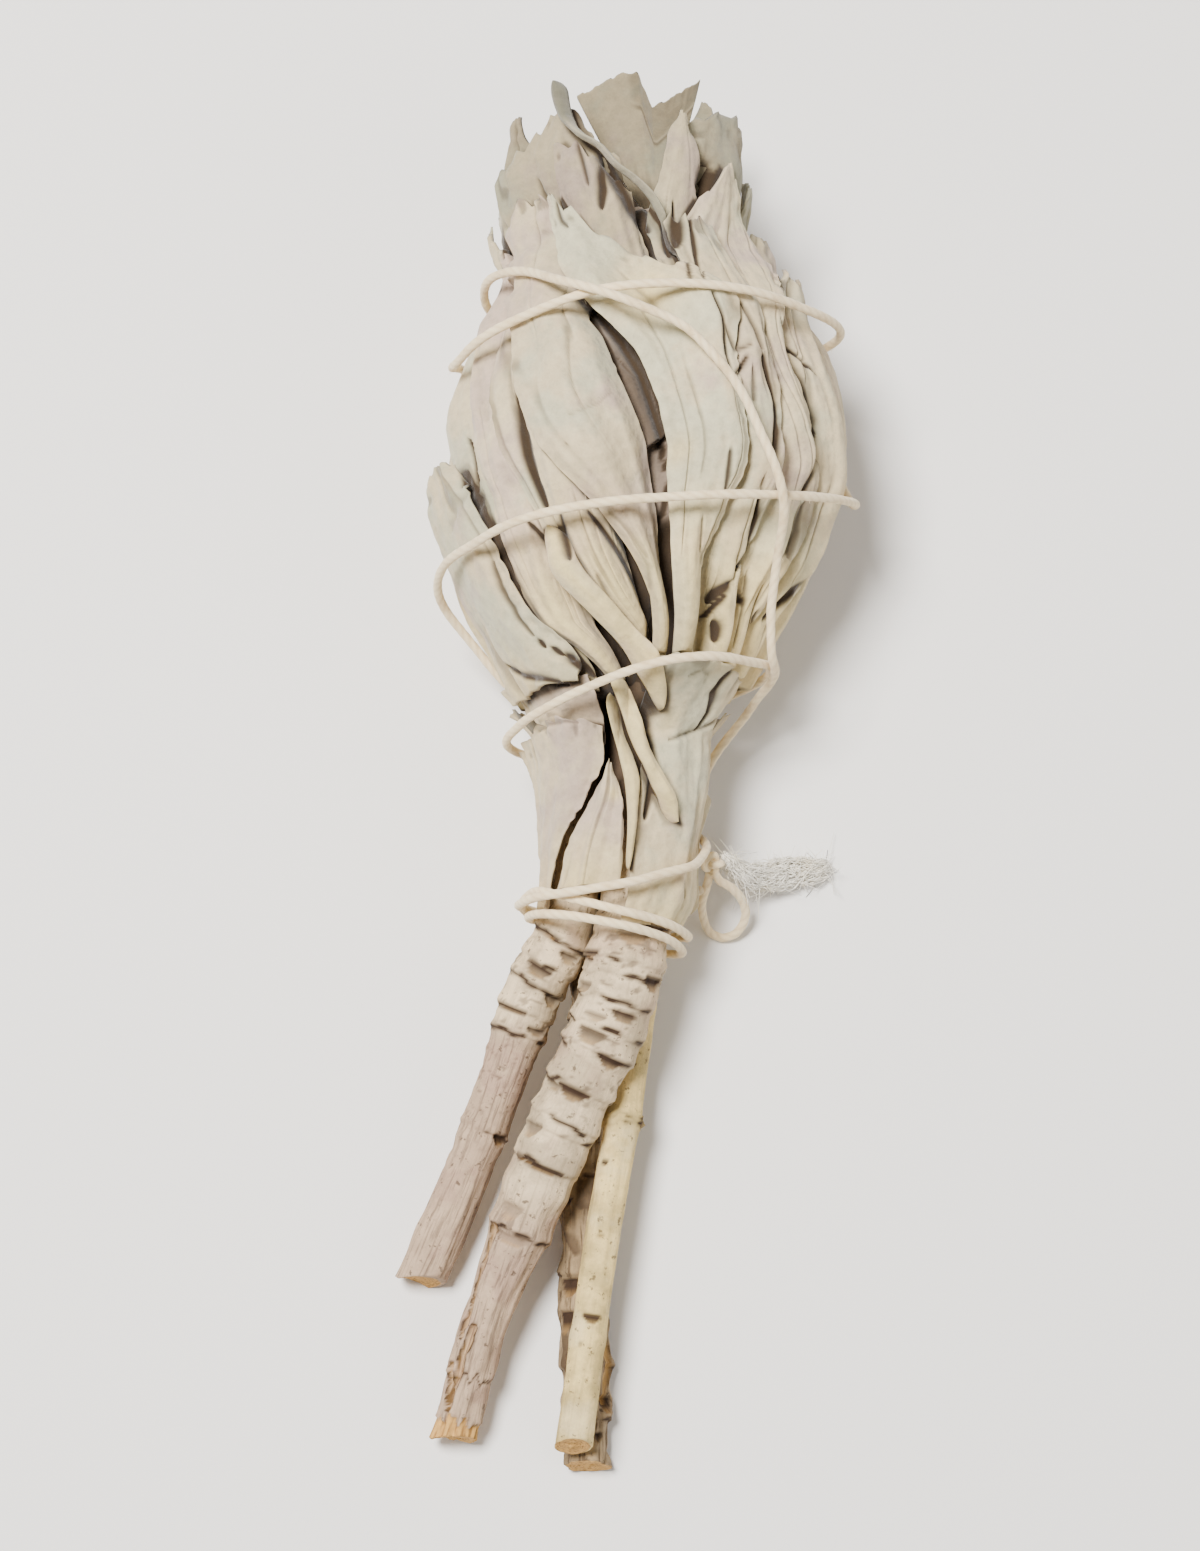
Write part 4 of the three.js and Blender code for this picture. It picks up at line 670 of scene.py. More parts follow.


# Gaps and creases of the front: (half width, depth, darkness of the shade painted in it, (station, angle)
# along it, and the leaf that it runs beside, if any). One beside a leaf marks only the leaves under that
# leaf.
CREASES = [
    # the hollow between the two broad front leaves, and the gap between their stalks
    (1.03, 1.6, 1, [(55, 115), (52, 107), (49.7, 101.6), (45.3, 93.6), (39.7, 87.2),
     (33, 79.8)], "front_right_leaf"),
    (0.4, 0.62, 0.65, [(47.5, 102.5), (44.5, 95.5), (42, 92.5)], "front_left_leaf"),
    (0.34, 0.62, 0.78, [(44, 93), (40.5, 89.8), (37, 86)], "front_left_leaf"),
    (0.57, 0.88, 1, [(31.8, 79), (29.2, 78), (26.5, 77.6)], "front_left_leaf"),
    (0.86, 1.5, 1, [(27.5, 77.4), (24.5, 76.4), (21.5, 75), (17, 73.6), (13.5, 71.2)], "front_left_leaf"),
    (0.34, 0.62, 0.91, [(28, 81), (25, 79.5), (21.5, 76.5)], "front_left_leaf"),
    (1.15, 1.6, 1, [(11.8, 79), (10.2, 75.6), (9.2, 72)], "front_left_leaf"),
    # on the broad front leaves
    (0.34, 0.44, 0.33, [(37.1, 109.7), (37.4, 106.8), (38.6, 103.5), (40.6, 99.8)]),
    (0.32, 0.38, 1, [(33.1, 108.8), (32.8, 108.8)]),
    (0.4, 0.56, 0.39, [(25.3, 97.6), (22.8, 90.8), (19.3, 83.8)]),
    (0.34, 0.5, 0.36, [(21.8, 89.4), (18.5, 83.6), (15.9, 81.4)]),
    (0.46, 0.88, 0.72, [(54.5, 71.4), (51, 68.6), (46.4, 68), (43, 65.6)]),
    (0.46, 0.62, 0.59, [(50.2, 67.8), (47.1, 64.4), (48.1, 59.1)]),
    (0.4, 0.75, 0.78, [(46.6, 60.2), (45, 62), (43.4, 64.7)]),
    (0.4, 0.62, 0.72, [(33.5, 65), (31, 64), (28, 62.4)]),
    (0.34, 0.44, 0.45, [(25, 68), (23.4, 67.3), (20.7, 66.7)]),
    # right of them
    (0.63, 1.25, 1, [(47, 55.2), (45.4, 54.5), (40.5, 51.4), (36.5, 50.4), (33.2, 49.6)]),
    (0.46, 0.62, 0.59, [(54, 61), (50.5, 57.5), (47.5, 55.6)]),
    (0.4, 0.56, 0.59, [(45, 58.9), (42.5, 58.7), (40.4, 58.4)]),
    (0.4, 0.75, 0.98, [(53, 44), (50.4, 38.5), (47.7, 26)]),
    (1.15, 1.25, 0.78, [(49.5, 42), (45.3, 32.8), (41.1, 28.3), (37.3, 29.8), (33, 30.5), (30.4, 31.6)]),
    (0.4, 0.62, 1, [(43, 29), (39.5, 27.4), (36, 29.6)]),
    (0.34, 0.5, 0.45, [(31.2, 50.5), (29.2, 49.5)]),
    (0.57, 1.12, 1, [(29.5, 49.4), (26.1, 48.1), (21.6, 46.8), (19.6, 49.4)]),
    (1.26, 1, 0.65, [(29.5, 29.8), (26, 29), (22.6, 28.8)]),
    (0.92, 1.38, 1, [(17.9, 49.9), (16.7, 52.6), (15.8, 53.4)]),
    (0.46, 0.75, 0.91, [(16.4, 50.2), (15, 52), (13.8, 53.4)]),
    (0.57, 1, 1, [(18.2, 46.6), (17.2, 42), (16.2, 38)]),
    (0.57, 1, 1, [(13.4, 50.4), (12.2, 48.6), (10.8, 47.2)]),
    (0.63, 1, 1, [(15.4, 30.5), (13.8, 28.8), (12.4, 27.6)]),
    (0.92, 1, 0.98, [(15.4, 21.5), (17, 18), (19.4, 13.4), (22, 6)]),
    (0.32, 0.5, 0.52, [(20, 41), (15, 37.5), (11, 35)]),
    (0.32, 0.5, 0.52, [(19, 33.5), (15, 31.8), (11.5, 30.5)]),
    # left of them
    (0.9, 1.3, 1, [(45, 133), (41, 130.4), (37.5, 127.2), (34, 124.4), (30.9, 121.8), (27, 118.6)]),
    (0.57, 0.62, 0.52, [(34.2, 117), (31.2, 110.8), (26.5, 102)], "front_left_leaf"),
    (1.03, 0.44, 0.21, [(52, 158), (48.8, 154.6), (44, 149.4), (40.2, 144.9)]),
    (1.03, 0.38, 0.18, [(58, 146), (54, 141), (49, 137.5)]),
    (0.57, 0.88, 1, [(39.6, 161.6), (37.4, 157.6), (34.6, 155.6), (32.1, 153.2)]),
    (0.92, 0.38, 0.29, [(27.2, 161.4), (29.5, 155), (30.9, 150.4)]),
    (1.26, 0.25, 0.21, [(33.2, 134.6), (30.6, 131.6)]),
    (0.69, 0.88, 0.78, [(25.4, 112.4), (22.7, 111.3), (19.1, 108)]),
    (0.52, 0.75, 0.98, [(25.6, 104), (24, 100.6), (20.1, 92.4), (16.1, 83.6), (12, 79)], "front_left_leaf"),
    (0.46, 0.75, 1, [(26, 127.6), (20.6, 116), (17.6, 111.6), (14.7, 107.4), (12, 101.6)], "leaf_stalk_3"),
    (0.57, 1.12, 1, [(11.2, 98.6), (9.4, 93.4), (7.2, 88)], "leaf_stalk_3"),
    (0.46, 0.62, 0.65, [(21.4, 142.2), (17.7, 139.3), (13.8, 134.9), (11.1, 129.3)]),
    (0.4, 0.62, 1, [(10.6, 127.6), (9.6, 125.6)]),
    (0.4, 0.75, 1, [(9.6, 123), (8.6, 119.4)]),
    (0.69, 1.12, 1, [(8.7, 118), (7.9, 115), (6.8, 111.4)]),
    (0.4, 0.5, 0.52, [(23.2, 111), (20.4, 109), (17.8, 103.4)], "leaf_stalk_3"),
    (0.4, 0.62, 0.52, [(17.5, 100.3), (13.9, 95.3), (11.5, 87)], "leaf_stalk_3"),
    (0.57, 0.75, 0.85, [(10, 168), (8.6, 158), (7.3, 148), (6.2, 134), (5.4, 123.4)]),
    # the neck
    (1.6, 1.6, 1, [(6.4, 85), (4.6, 80.5), (2.4, 75.4), (0, 69.6)], "leaf_stalk_1"),
    (0.69, 1.12, 1, [(1, 71), (-2.2, 66), (-7, 66), (-12, 71)], "leaf_stalk_1"),
    (0.4, 0.5, 0.45, [(0.3, 152), (0.6, 134), (0.1, 116.8)]),
    (0.57, 1, 1, [(7.2, 38.6), (5, 38.4), (2.7, 31.5), (0.7, 31.6)]),
    (0.4, 0.62, 0.52, [(-1.3, 53.6), (0.1, 36), (1.4, 24), (2.9, 16.5), (5.4, 13.4)]),
    (0.34, 0.44, 0.39, [(5.8, 60), (6.7, 54), (6.5, 47.5)]),
    (0.34, 0.44, 1, [(-19.5, 29), (-21.6, 24)]),
    # the tuft
    (0.69, 0.88, 1, [(74, 102.2), (70.9, 102.4), (68.6, 103.8)]),
    (1.15, 1.5, 1, [(76, 104), (73.6, 99), (71.4, 94.6), (68.8, 89), (66.4, 81.5)], "rolled_stalk"),
    (0.92, 1.25, 1, [(66.8, 73.6), (64.8, 74.6), (62.4, 76)]),
    (0.34, 0.75, 1, [(69.6, 69.6), (65.6, 69), (60.8, 71.4), (56.4, 73.6)]),
    (0.34, 0.62, 0.78, [(60, 76.4), (57.5, 77.2), (55, 78)]),
    (1.38, 1.6, 1, [(76, 49), (73.6, 51.6), (71.4, 55)], "right_leaf_3"),
    (0.8, 1, 1, [(72, 172), (69, 168), (65.6, 164)]),
    (0.46, 0.62, 0.65, [(77, 112), (74.4, 110), (71.6, 108.6)]),
    (0.57, 0.75, 0.59, [(74.6, 141), (72.4, 139), (71, 136)]),
    (0.52, 0.75, 0.65, [(70.8, 96.8), (70, 92.4)]),
    (1.38, 1.12, 0.65, [(59.5, 150), (58, 146), (57.4, 141)]),
    (0.46, 0.62, 0.65, [(69.4, 122), (66.6, 120), (65.4, 117)]),
]
# Yellowed places of the felt: (radius, strength, station, angle).
STAINS = [(4, 0.9, 55.4, 91), (1, 0.8, -9, 96), (2, 0.6, 33.4, 78.6), (1.6, 0.5, 1, 57), (2.6, 0.4, 9, 46)]


def squares_away(y, phi, station, turn):
    """The square of the distance of each place from one, over the surface of the bunch."""
    return (y - station) ** 2 + (turn_between(turn, phi) * arc(station)) ** 2


def spans_of(line):
    """The straight spans of a line of (station, angle): start, mm to a degree, run in mm and length."""
    spans = []
    for (y0, phi0), (y1, phi1) in zip(line, line[1:]):
        scale = arc((y0 + y1) / 2)
        run = (y1 - y0, turn_between(phi0, phi1) * scale)
        spans.append((y0, phi0, scale, run, math.hypot(*run)))
    return spans


def creased(order, ranks, y, phi):
    """Depth of the creases, and the darkness of the shade painted in them, at places of the leaf laid at this
    order.
    """
    depth, dark = np.zeros(y.shape), np.zeros(y.shape)
    for half_width_mm, deep, darkness, line, *beside in CREASES:
        if beside and order >= ranks[beside[0]]:
            continue
        spans = spans_of(line)
        whole = sum(span[-1] for span in spans)
        nearest, share, walked = np.full(y.shape, np.inf), np.zeros(y.shape), 0.0
        for y0, phi0, scale, run, length in spans:
            t, away = along_span(y - y0, turn_between(phi0, phi) * scale, run)
            share = np.where(away < nearest, (walked + t * length) / whole, share)
            nearest = np.minimum(nearest, away)
            walked += length
        wide = half_width_mm * (0.4 + 0.6 * np.sqrt(np.sin(np.pi * share)))
        strength = np.exp(-((nearest / wide) ** 2))
        depth = np.maximum(depth, deep * strength)
        # painted shade along the crease
        dark = np.maximum(dark, darkness * strength)
    return depth, dark


# ---- the twine's route
# The binding, from the knot beside the neck and back to it: (degrees turned, station). Angles run clockwise
# seen from the head, so 90 degrees turned from the knot is the underside, 180 the left, 270 the top.
TWINE_TURNS = [
    # three turns round the neck
    (10, -18.8), (90, -22), (188, -23.6), (236, -24.9), (253, -25.5), (275, -26.5), (296, -27),
    (326, -27.6), (364, -28.2), (400, -27.2), (450, -24.8), (520, -21.8), (554, -20.6), (595, -22.6),
    (623, -24.1), (639, -25), (663, -25.4), (695, -26), (715, -26.2), (760, -24.8), (810, -22.4),
    (880, -21.4), (914, -22.2), (955, -22.4), (980, -22), (998, -21.4), (1018, -19.8), (1055, -17.3),
    (1084, -14),
    # across the top of the neck
    (1110, -11), (1170, -4), (1230, 0), (1262, 0.8), (1277, 1.2), (1300, 1.5), (1319, 2.8), (1340, 4.2),
    (1354, 5.3), (1368, 6.6), (1377, 7.2), (1388, 7.8), (1401, 8.2), (1418, 9), (1436, 10.2), (1446, 10.4),
    # round behind, up the left flank and across the belly
    (1500, 8.4), (1556, 6.2), (1572, 7.4), (1584, 10), (1593, 13.6), (1603, 17.6), (1618, 20.8), (1637, 22.2),
    (1657, 22.8), (1677, 23.6), (1686, 24.2), (1699, 25), (1712, 25.8), (1728, 26.6), (1744, 27.6),
    (1765, 29.4), (1793, 32), (1808, 34),
    # round behind and across the head below its tips
    (1826, 42), (1844, 49), (1868, 53.6), (1920, 55), (1970, 53), (2000, 49.6), (2012, 50.2), (2032, 51.8),
    (2047, 53), (2059, 54), (2073, 54.8), (2084, 55), (2099, 55), (2119, 55), (2150, 55.6),
    # round behind, slanting down across the front, and down the right of the neck to the knot
    (2210, 57.4), (2280, 60.4), (2340, 61), (2360, 61), (2375, 60.5), (2384, 59.8), (2391, 58.8),
    (2406, 55.2), (2416, 53.2), (2423, 51.9), (2431, 50.5), (2439, 49), (2444, 46.6), (2449, 44),
    (2456, 39.6), (2461, 35), (2466, 30.6), (2469, 28), (2475, 23.8), (2482, 18.4), (2486, 13.6),
    (2491, 9.4), (2512, 7.8), (2538, 5), (2552, 0), (2557, -5), (2560, -10), (2561, -12),
]
TWINE_TAIL = [(-13.2, -34), (-13.9, -27)]  # it comes up to the knot through these: (station, turn)
TWINE_SAMPLING = 2  # points of its line for each degree round the bunch
TWINE_REACH = 3  # how many cells of the pile it bridges
TWINE_BEHIND = 60  # how many degrees of itself, just before a place, it doesn't climb over
TWINE_STEP_OVER = 3.6  # how soon it starts to climb over an earlier turn
TWINE_STIFFNESS = 2.6  # how far along it a dent in what it lies on is evened out
twine_station = through(TWINE_TURNS)
TWINE_START, TWINE_END = TWINE_TURNS[0][0], TWINE_TURNS[-1][0]


def squeeze(y, phi):
    """How far the twine pulls the leaves in at a place: the deepest of the turns that pass it."""
    y, phi = np.broadcast_arrays(np.asarray(y, float), np.asarray(phi, float))
    nearest = np.full(y.shape, np.inf)
    for whole_turns in range(0, TWINE_END, 360):
        turned = -phi % 360 + whole_turns
        steepness = (twine_station(turned + 2) - twine_station(turned - 2)) / (4 * arc(y))
        gap = np.abs(y - twine_station(turned)) / np.hypot(1, steepness)
        nearest = np.where(turned <= TWINE_END, np.minimum(nearest, gap), nearest)
    return TWINE_SQUEEZE * np.exp(-((nearest / TWINE_SQUEEZE_REACH) ** 2))


# ---- the laid pile
SETTLE_PASSES, SETTLE_ROWS, SETTLE_COLUMNS = 2, 5, 6  # how the pile is evened out to say how far it settles
FACING_DOWN = 0.2  # how steeply a place has to face down before the bunch's weight can flatten it
OUTSIDE = -9.0  # how far inside a later leaf a place lies that is nowhere near one


class Pile:
    """The finished pile, and the way from a height over its floor to a place."""

    def __init__(self, blade, clearance):
        self.height = np.zeros((ROWS, COLUMNS))
        self.leaves = make_leaves()
        for leaf in self.leaves:
            leaf.lay_on(self.height, blade, clearance)
        self.ranks = {leaf.name: rank for rank, leaf in enumerate(self.leaves)}
        self.settled = self.height
        for _ in range(SETTLE_PASSES):
            self.settled = sweep(self.settled, SETTLE_ROWS, 0, np.mean)
            self.settled = sweep(self.settled, SETTLE_COLUMNS, 1, np.mean)

    def inset(self, order, y, phi):
        """How far places lie inside the outlines of the leaves laid later, in mm; below 0 outside them."""
        deepest = np.full(y.shape, OUTSIDE)
        for later in self.leaves[order + 1:]:
            away, half = turn_between(later.middle(y), phi), later.half(y)
            tip = later.tip_at(np.clip(away / half, -1, 1))
            inside = np.minimum((half - np.abs(away)) * arc(y), np.minimum(tip - y, y - later.base))
            deepest = np.maximum(deepest, inside)
        return deepest

    def place(self, y, phi, height):
        """The point at a height over the pile's floor, at a station and an angle."""
        y, phi, height = np.broadcast_arrays(*(np.asarray(value, float) for value in (y, phi, height)))
        drawn_in = sample(self.settled, y, phi) + squeeze(y, phi)
        width = half_width(y)
        down = -np.sin(np.radians(phi))
        outside = width * roundness(y) + sample(self.height, y, phi) - drawn_in
        # everything above a place is flattened, so that the head rests on a flat spot
        too_low = np.maximum(0, outside - axis_height(y) / np.maximum(down, FACING_DOWN))
        out = height - drawn_in - np.where(down < FACING_DOWN, 0, too_low)
        return np.stack([
            centre_x(y) + (width + out) * np.cos(np.radians(phi)),
            y,
            axis_height(y) + (width * roundness(y) + out) * np.sin(np.radians(phi)),
        ], -1)


@functools.lru_cache(maxsize=1)
def laid_pile(blade, clearance):
    """The pile of leaves of this thickness and with this much air between them, laid only once."""
    return Pile(blade, clearance)


def finished_pile(context):
    sizes = context.scene.sage_leaves
    return laid_pile(sizes.blade / MM, sizes.clearance / MM)


def running(values, walked, reach, combine):
    """A filter over the stretch of a line within reach of each of its points."""
    first = np.searchsorted(walked, walked - reach)
    last = np.searchsorted(walked, walked + reach, side="right")
    return np.array([combine(values[a:b]) for a, b in zip(first, last)])


def twine_line(pile, sizes):
    """The binding's centre line over the finished pile."""
    radius, gap = sizes.radius / MM, sizes.gap / MM
    turned = TWINE_START + np.arange((TWINE_END - TWINE_START) * TWINE_SAMPLING + 1) / TWINE_SAMPLING
    y = np.concatenate([twine_station(turned), [station for station, _ in TWINE_TAIL]])
    phi = np.concatenate([-turned, [turn for _, turn in TWINE_TAIL]])
    height = sample(drape(pile.height, TWINE_REACH), y, phi) + gap + radius
    spots = pile.place(y, phi, height)
    step = 2 * radius + gap
    behind = TWINE_BEHIND * TWINE_SAMPLING
    over = np.zeros(len(spots))
    for i in range(behind + 1, len(spots)):
        if np.linalg.norm(spots[: i - behind] - spots[i], axis=1).min() < step:
            over[i] = step
    walked = distances_along(spots)
    lifted = running(running(over, walked, TWINE_STEP_OVER, np.max), walked, TWINE_STEP_OVER, np.mean)
    line = pile.place(y, phi, height + lifted)
    for reach in (TWINE_STIFFNESS, TWINE_STIFFNESS / 2):
        line = np.stack([running(line[:, k], walked, reach, np.mean) for k in range(3)], 1)
    return line


# ---- the finishes
COLOUR, NUMBER = "NodeSocketColor", "NodeSocketFloat"


def node(tree, kind, settings=None, **inputs):
    """A node with its settings, and its inputs by name: a socket is linked and a value is set."""
    made = tree.nodes.new(kind)
    for key, value in (settings or {}).items():
        setattr(made, key, value)
    for key, value in inputs.items():
        give(tree, made.inputs[key.replace("_", " ")], value)
    return made


def give(tree, socket, value):
    if isinstance(value, bpy.types.NodeSocket):
        tree.links.new(value, socket)
    else:
        socket.default_value = value


def maths(tree, operation, *values, clamp=False):
    made = node(tree, "ShaderNodeMath", {"operation": operation, "use_clamp": clamp})
    for socket, value in zip(made.inputs, values):
        give(tree, socket, value)
    return made.outputs[0]


def times(tree, first, second):
    return maths(tree, "MULTIPLY", first, second)


def scaled(tree, value, gain, base):
    """A value times a gain, over a base."""
    return maths(tree, "MULTIPLY_ADD", value, gain, base)


def blended(tree, factor, first, second, kind="MIX"):
    made = node(tree, "ShaderNodeMix", {"data_type": "RGBA", "blend_type": kind})
    for socket, value in zip((made.inputs[0], made.inputs[6], made.inputs[7]), (factor, first, second)):
        give(tree, socket, value)
    return made.outputs[2]


def lightened(tree, skin, *shares):
    """A colour times the product of some shares of its light."""
    light = shares[0]
    for share in shares[1:]:
        light = times(tree, light, share)
    grey = node(tree, "ShaderNodeCombineColor", Red=light, Green=light, Blue=light)
    return blended(tree, 1.0, skin, grey.outputs[0], "MULTIPLY")


def between(tree, value, low, high):
    """A mask that rises smoothly from 0 at low to 1 at high."""
    made = node(tree, "ShaderNodeMapRange", {"interpolation_type": "SMOOTHSTEP"}, Value=value,
                From_Min=low, From_Max=high)
    return made.outputs[0]


def place_in_bunch(tree):
    return node(tree, "ShaderNodeTexCoord").outputs["Object"]


def moved(tree, where, x, y, z):
    return node(tree, "ShaderNodeMapping", Vector=where, Location=(x, y, z)).outputs[0]


def speckle(tree, where, scale, detail=2.0, roughness=0.5):
    """Noise from 0 to 1 with so many bumps to a metre."""
    made = node(tree, "ShaderNodeTexNoise", Vector=where, Scale=scale, Detail=detail, Roughness=roughness)
    return made.outputs["Fac"]


def shader_group(name, inputs, build):
    """A node group with the inputs (name: default) that build turns into a colour and a height."""
    tree = bpy.data.node_groups.new(name, "ShaderNodeTree")
    for title, default in inputs.items():
        kind = NUMBER if isinstance(default, float) else COLOUR
        tree.interface.new_socket(title, in_out="INPUT", socket_type=kind).default_value = default
    tree.interface.new_socket("Colour", in_out="OUTPUT", socket_type=COLOUR)
    tree.interface.new_socket("Height", in_out="OUTPUT", socket_type=NUMBER)
    given = tree.nodes.new("NodeGroupInput").outputs
    result = tree.nodes.new("NodeGroupOutput").inputs
    skin, height = build(tree, given)
    tree.links.new(skin, result["Colour"])
    tree.links.new(height, result["Height"])
    return tree


def felt_group(colours):
    """Felted leaf: mottled colour with painted shade in its hollows, and the height of its net of dents and
    nap.
    """

    def build(tree, given):
        where = place_in_bunch(tree)
        nap = speckle(tree, where, 2600, 4, 0.7)
        net = node(tree, "ShaderNodeTexVoronoi", {"feature": "SMOOTH_F1"}, Vector=where, Scale=820,
                   Smoothness=0.7).outputs["Distance"]
        greens = speckle(tree, where, 95, 5, 0.62)
        bruises = speckle(tree, moved(tree, where, 3, 5, 7), 80, 4, 0.6)
        grime = speckle(tree, moved(tree, where, 8, 2, 1), 330, 5, 0.7)
        greens = scaled(tree, given["Hue"], 0.1, greens)
        bruises = scaled(tree, given["Hue"], -0.1, bruises)
        skin = blended(tree, between(tree, greens, 0.46, 0.66), given["Felt"], given["Green"])
        skin = blended(tree, between(tree, bruises, 0.48, 0.66), skin, given["Lilac"])
        skin = blended(tree, given["Stalk Mask"], skin, given["Stalk"])
        # lightened by the nap, the net and the grime, and by each leaf's tone and painted shade
        skin = lightened(
            tree, skin, scaled(tree, nap, 0.36, 0.82), scaled(tree, net, 0.2, 0.9),
            scaled(tree, grime, 0.44, 0.78), scaled(tree, given["Tint"], 0.13, 1.0),
        )
        # painted shade: the hollows' dark colour mixed in where the leaf lies in shade
        skin = blended(tree, between(tree, given["Buried"], 0.0, 0.8), skin, given["Hollow"])
        return skin, scaled(tree, nap, 0.5, times(tree, net, 0.8))

    inputs = {
        "Felt": colours.felt, "Green": colours.felt_green, "Lilac": colours.felt_lilac,
        "Stalk": colours.stalk, "Hollow": colours.painted_hollow_shade, "Stalk Mask": 0.0, "Tint": 0.0, "Hue": 0.0,
        "Buried": 0.0,
    }
    return shader_group("Felt", inputs, build)


def bark_group(colours):
    """Bark: fine lines along the stem, worn places, dark scars with painted shade towards the neck, and bare
    wood, and their height.
    """

    def build(tree, given):
        where = place_in_bunch(tree)
        drawn_out = node(tree, "ShaderNodeCombineXYZ", X=given["Across"], Y=given["Upward"], Z=given["Along"])
        lines = speckle(tree, drawn_out.outputs[0], 1700, 5, 0.65)
        fine = speckle(tree, where, 2600, 4, 0.7)
        patches = speckle(tree, where, 170, 5, 0.6)
        bruises = speckle(tree, moved(tree, where, 1, 4, 8), 110, 4, 0.6)
        grime = speckle(tree, moved(tree, where, 6, 1, 3), 420, 5, 0.7)
        specks = speckle(tree, moved(tree, where, 2, 9, 4), 1000, 3, 0.6)
        bleached = scaled(tree, between(tree, patches, 0.4, 0.62), 0.5, 0.92)
        faded = lightened(tree, given["Bark"], bleached)
        bruised = times(tree, between(tree, bruises, 0.5, 0.66), 0.5)
        worn = maths(tree, "MULTIPLY_ADD", given["Worn Mask"], 0.75, bruised, clamp=True)
        skin = blended(tree, worn, faded, given["Worn"])
        lined = scaled(tree, given["Worn Mask"], 0.65, 0.35)
        dark = times(tree, between(tree, lines, 0.52, 0.36), given["Lines"])
        dark = times(tree, dark, lined)
        dark = maths(tree, "MAXIMUM", dark, times(tree, between(tree, specks, 0.6, 0.7), 0.7))
        # the scars and marks, and the painted shade towards the neck
        dark = maths(tree, "MAXIMUM", dark, given["Scar Mask"], clamp=True)
        skin = blended(tree, dark, skin, given["Dark"])
        grain = blended(tree, between(tree, lines, 0.25, 0.6), given["Dark Wood"], given["Wood"])
        skin = blended(tree, given["Wood Mask"], skin, grain)
        skin = lightened(tree, skin, scaled(tree, fine, 0.3, 0.85), scaled(tree, grime, 0.5, 0.75))
        return skin, scaled(tree, fine, 0.5, times(tree, lines, lined))

    inputs = {
        "Bark": colours.bark, "Worn": colours.bark, "Dark": colours.bark_dark, "Wood": colours.wood,
        "Dark Wood": colours.wood_dark, "Lines": 0.3, "Scar Mask": 0.0, "Wood Mask": 0.0,
        "Worn Mask": 0.0, "Across": 0.0, "Upward": 0.0, "Along": 0.0,
    }
    return shader_group("Bark", inputs, build)


def cotton_group(colours):
    """Spun cotton: painted shade between the plies and in the fluff, uneven bleaching, and the height of its
    fibres.
    """

    def build(tree, given):
        where = place_in_bunch(tree)
        fibres = speckle(tree, where, 4200, 3, 0.7)
        dye = speckle(tree, where, 230, 4, 0.6)
        thread = blended(tree, between(tree, dye, 0.45, 0.85), given["Cotton"], given["Shade"])
        # painted shade between the plies and inside the fluff
        thread = blended(tree, given["Groove"], thread, given["Shade"])
        return lightened(tree, thread, scaled(tree, fibres, 0.2, 0.9)), fibres

    inputs = {"Cotton": colours.cotton, "Shade": colours.cotton_shade, "Groove": 0.0}
    return shader_group("Cotton", inputs, build)


# Each kind of finish: its group, the strength and the mm of its bump, its roughness, its sheen, and the marks
# of the mesh that feed the group's inputs of the same names.
FINISHES = {
    "Felt": (felt_group, 0.75, 0.25, 0.95, 0.2, ("Stalk Mask", "Tint", "Hue", "Buried")),
    "Bark": (bark_group, 0.8, 0.22, 0.85, 0.0,
             ("Scar Mask", "Wood Mask", "Worn Mask", "Across", "Upward", "Along")),
    "Cotton": (cotton_group, 0.5, 0.1, 0.95, 0.3, ("Groove",)),
}


def finish(kind, name, **values):
    """A material by name, with the group of its kind and values for it, built the first time."""
    if name in bpy.data.materials:
        return bpy.data.materials[name]
    build, bump, distance_mm, roughness, sheen, marks = FINISHES[kind]
    group = bpy.data.node_groups.get(kind) or build(bpy.context.scene.sage_colours)
    material = bpy.data.materials.new(name)
    material.use_nodes = True
    tree = material.node_tree
    tree.nodes.clear()
    skin = node(tree, "ShaderNodeGroup", {"node_tree": group}, **values)
    for mark in marks:
        given = node(tree, "ShaderNodeAttribute", {"attribute_name": mark}).outputs["Fac"]
        tree.links.new(given, skin.inputs[mark])
    relief = node(tree, "ShaderNodeBump", Strength=bump, Distance=distance_mm * MM,
                  Height=skin.outputs["Height"])
    shader = node(tree, "ShaderNodeBsdfPrincipled", Base_Color=skin.outputs["Colour"], Roughness=roughness,
                  Sheen_Weight=sheen, Sheen_Roughness=0.6, Normal=relief.outputs[0], Specular_IOR_Level=0.25)
    output = node(tree, "ShaderNodeOutputMaterial")
    tree.links.new(shader.outputs[0], output.inputs[0])
    return material


def felt_marks(painted_shade, yellow, tone_and_shade, hue):
    """The marks of a felted piece: how dark its painted shade is, how stalk-like, how light its tone and
    painted shade make it, and how green or lilac.
    """
    tone_and_shade, hue = (value + np.zeros(painted_shade.size) for value in (tone_and_shade, hue))
    return {"Buried": painted_shade.ravel(), "Stalk Mask": yellow + np.zeros(painted_shade.size), "Tint": tone_and_shade, "Hue": hue}


# ---- the camera
SENSOR_WIDTH = 36
CLIP_START, CLIP_END = 0.01, 20


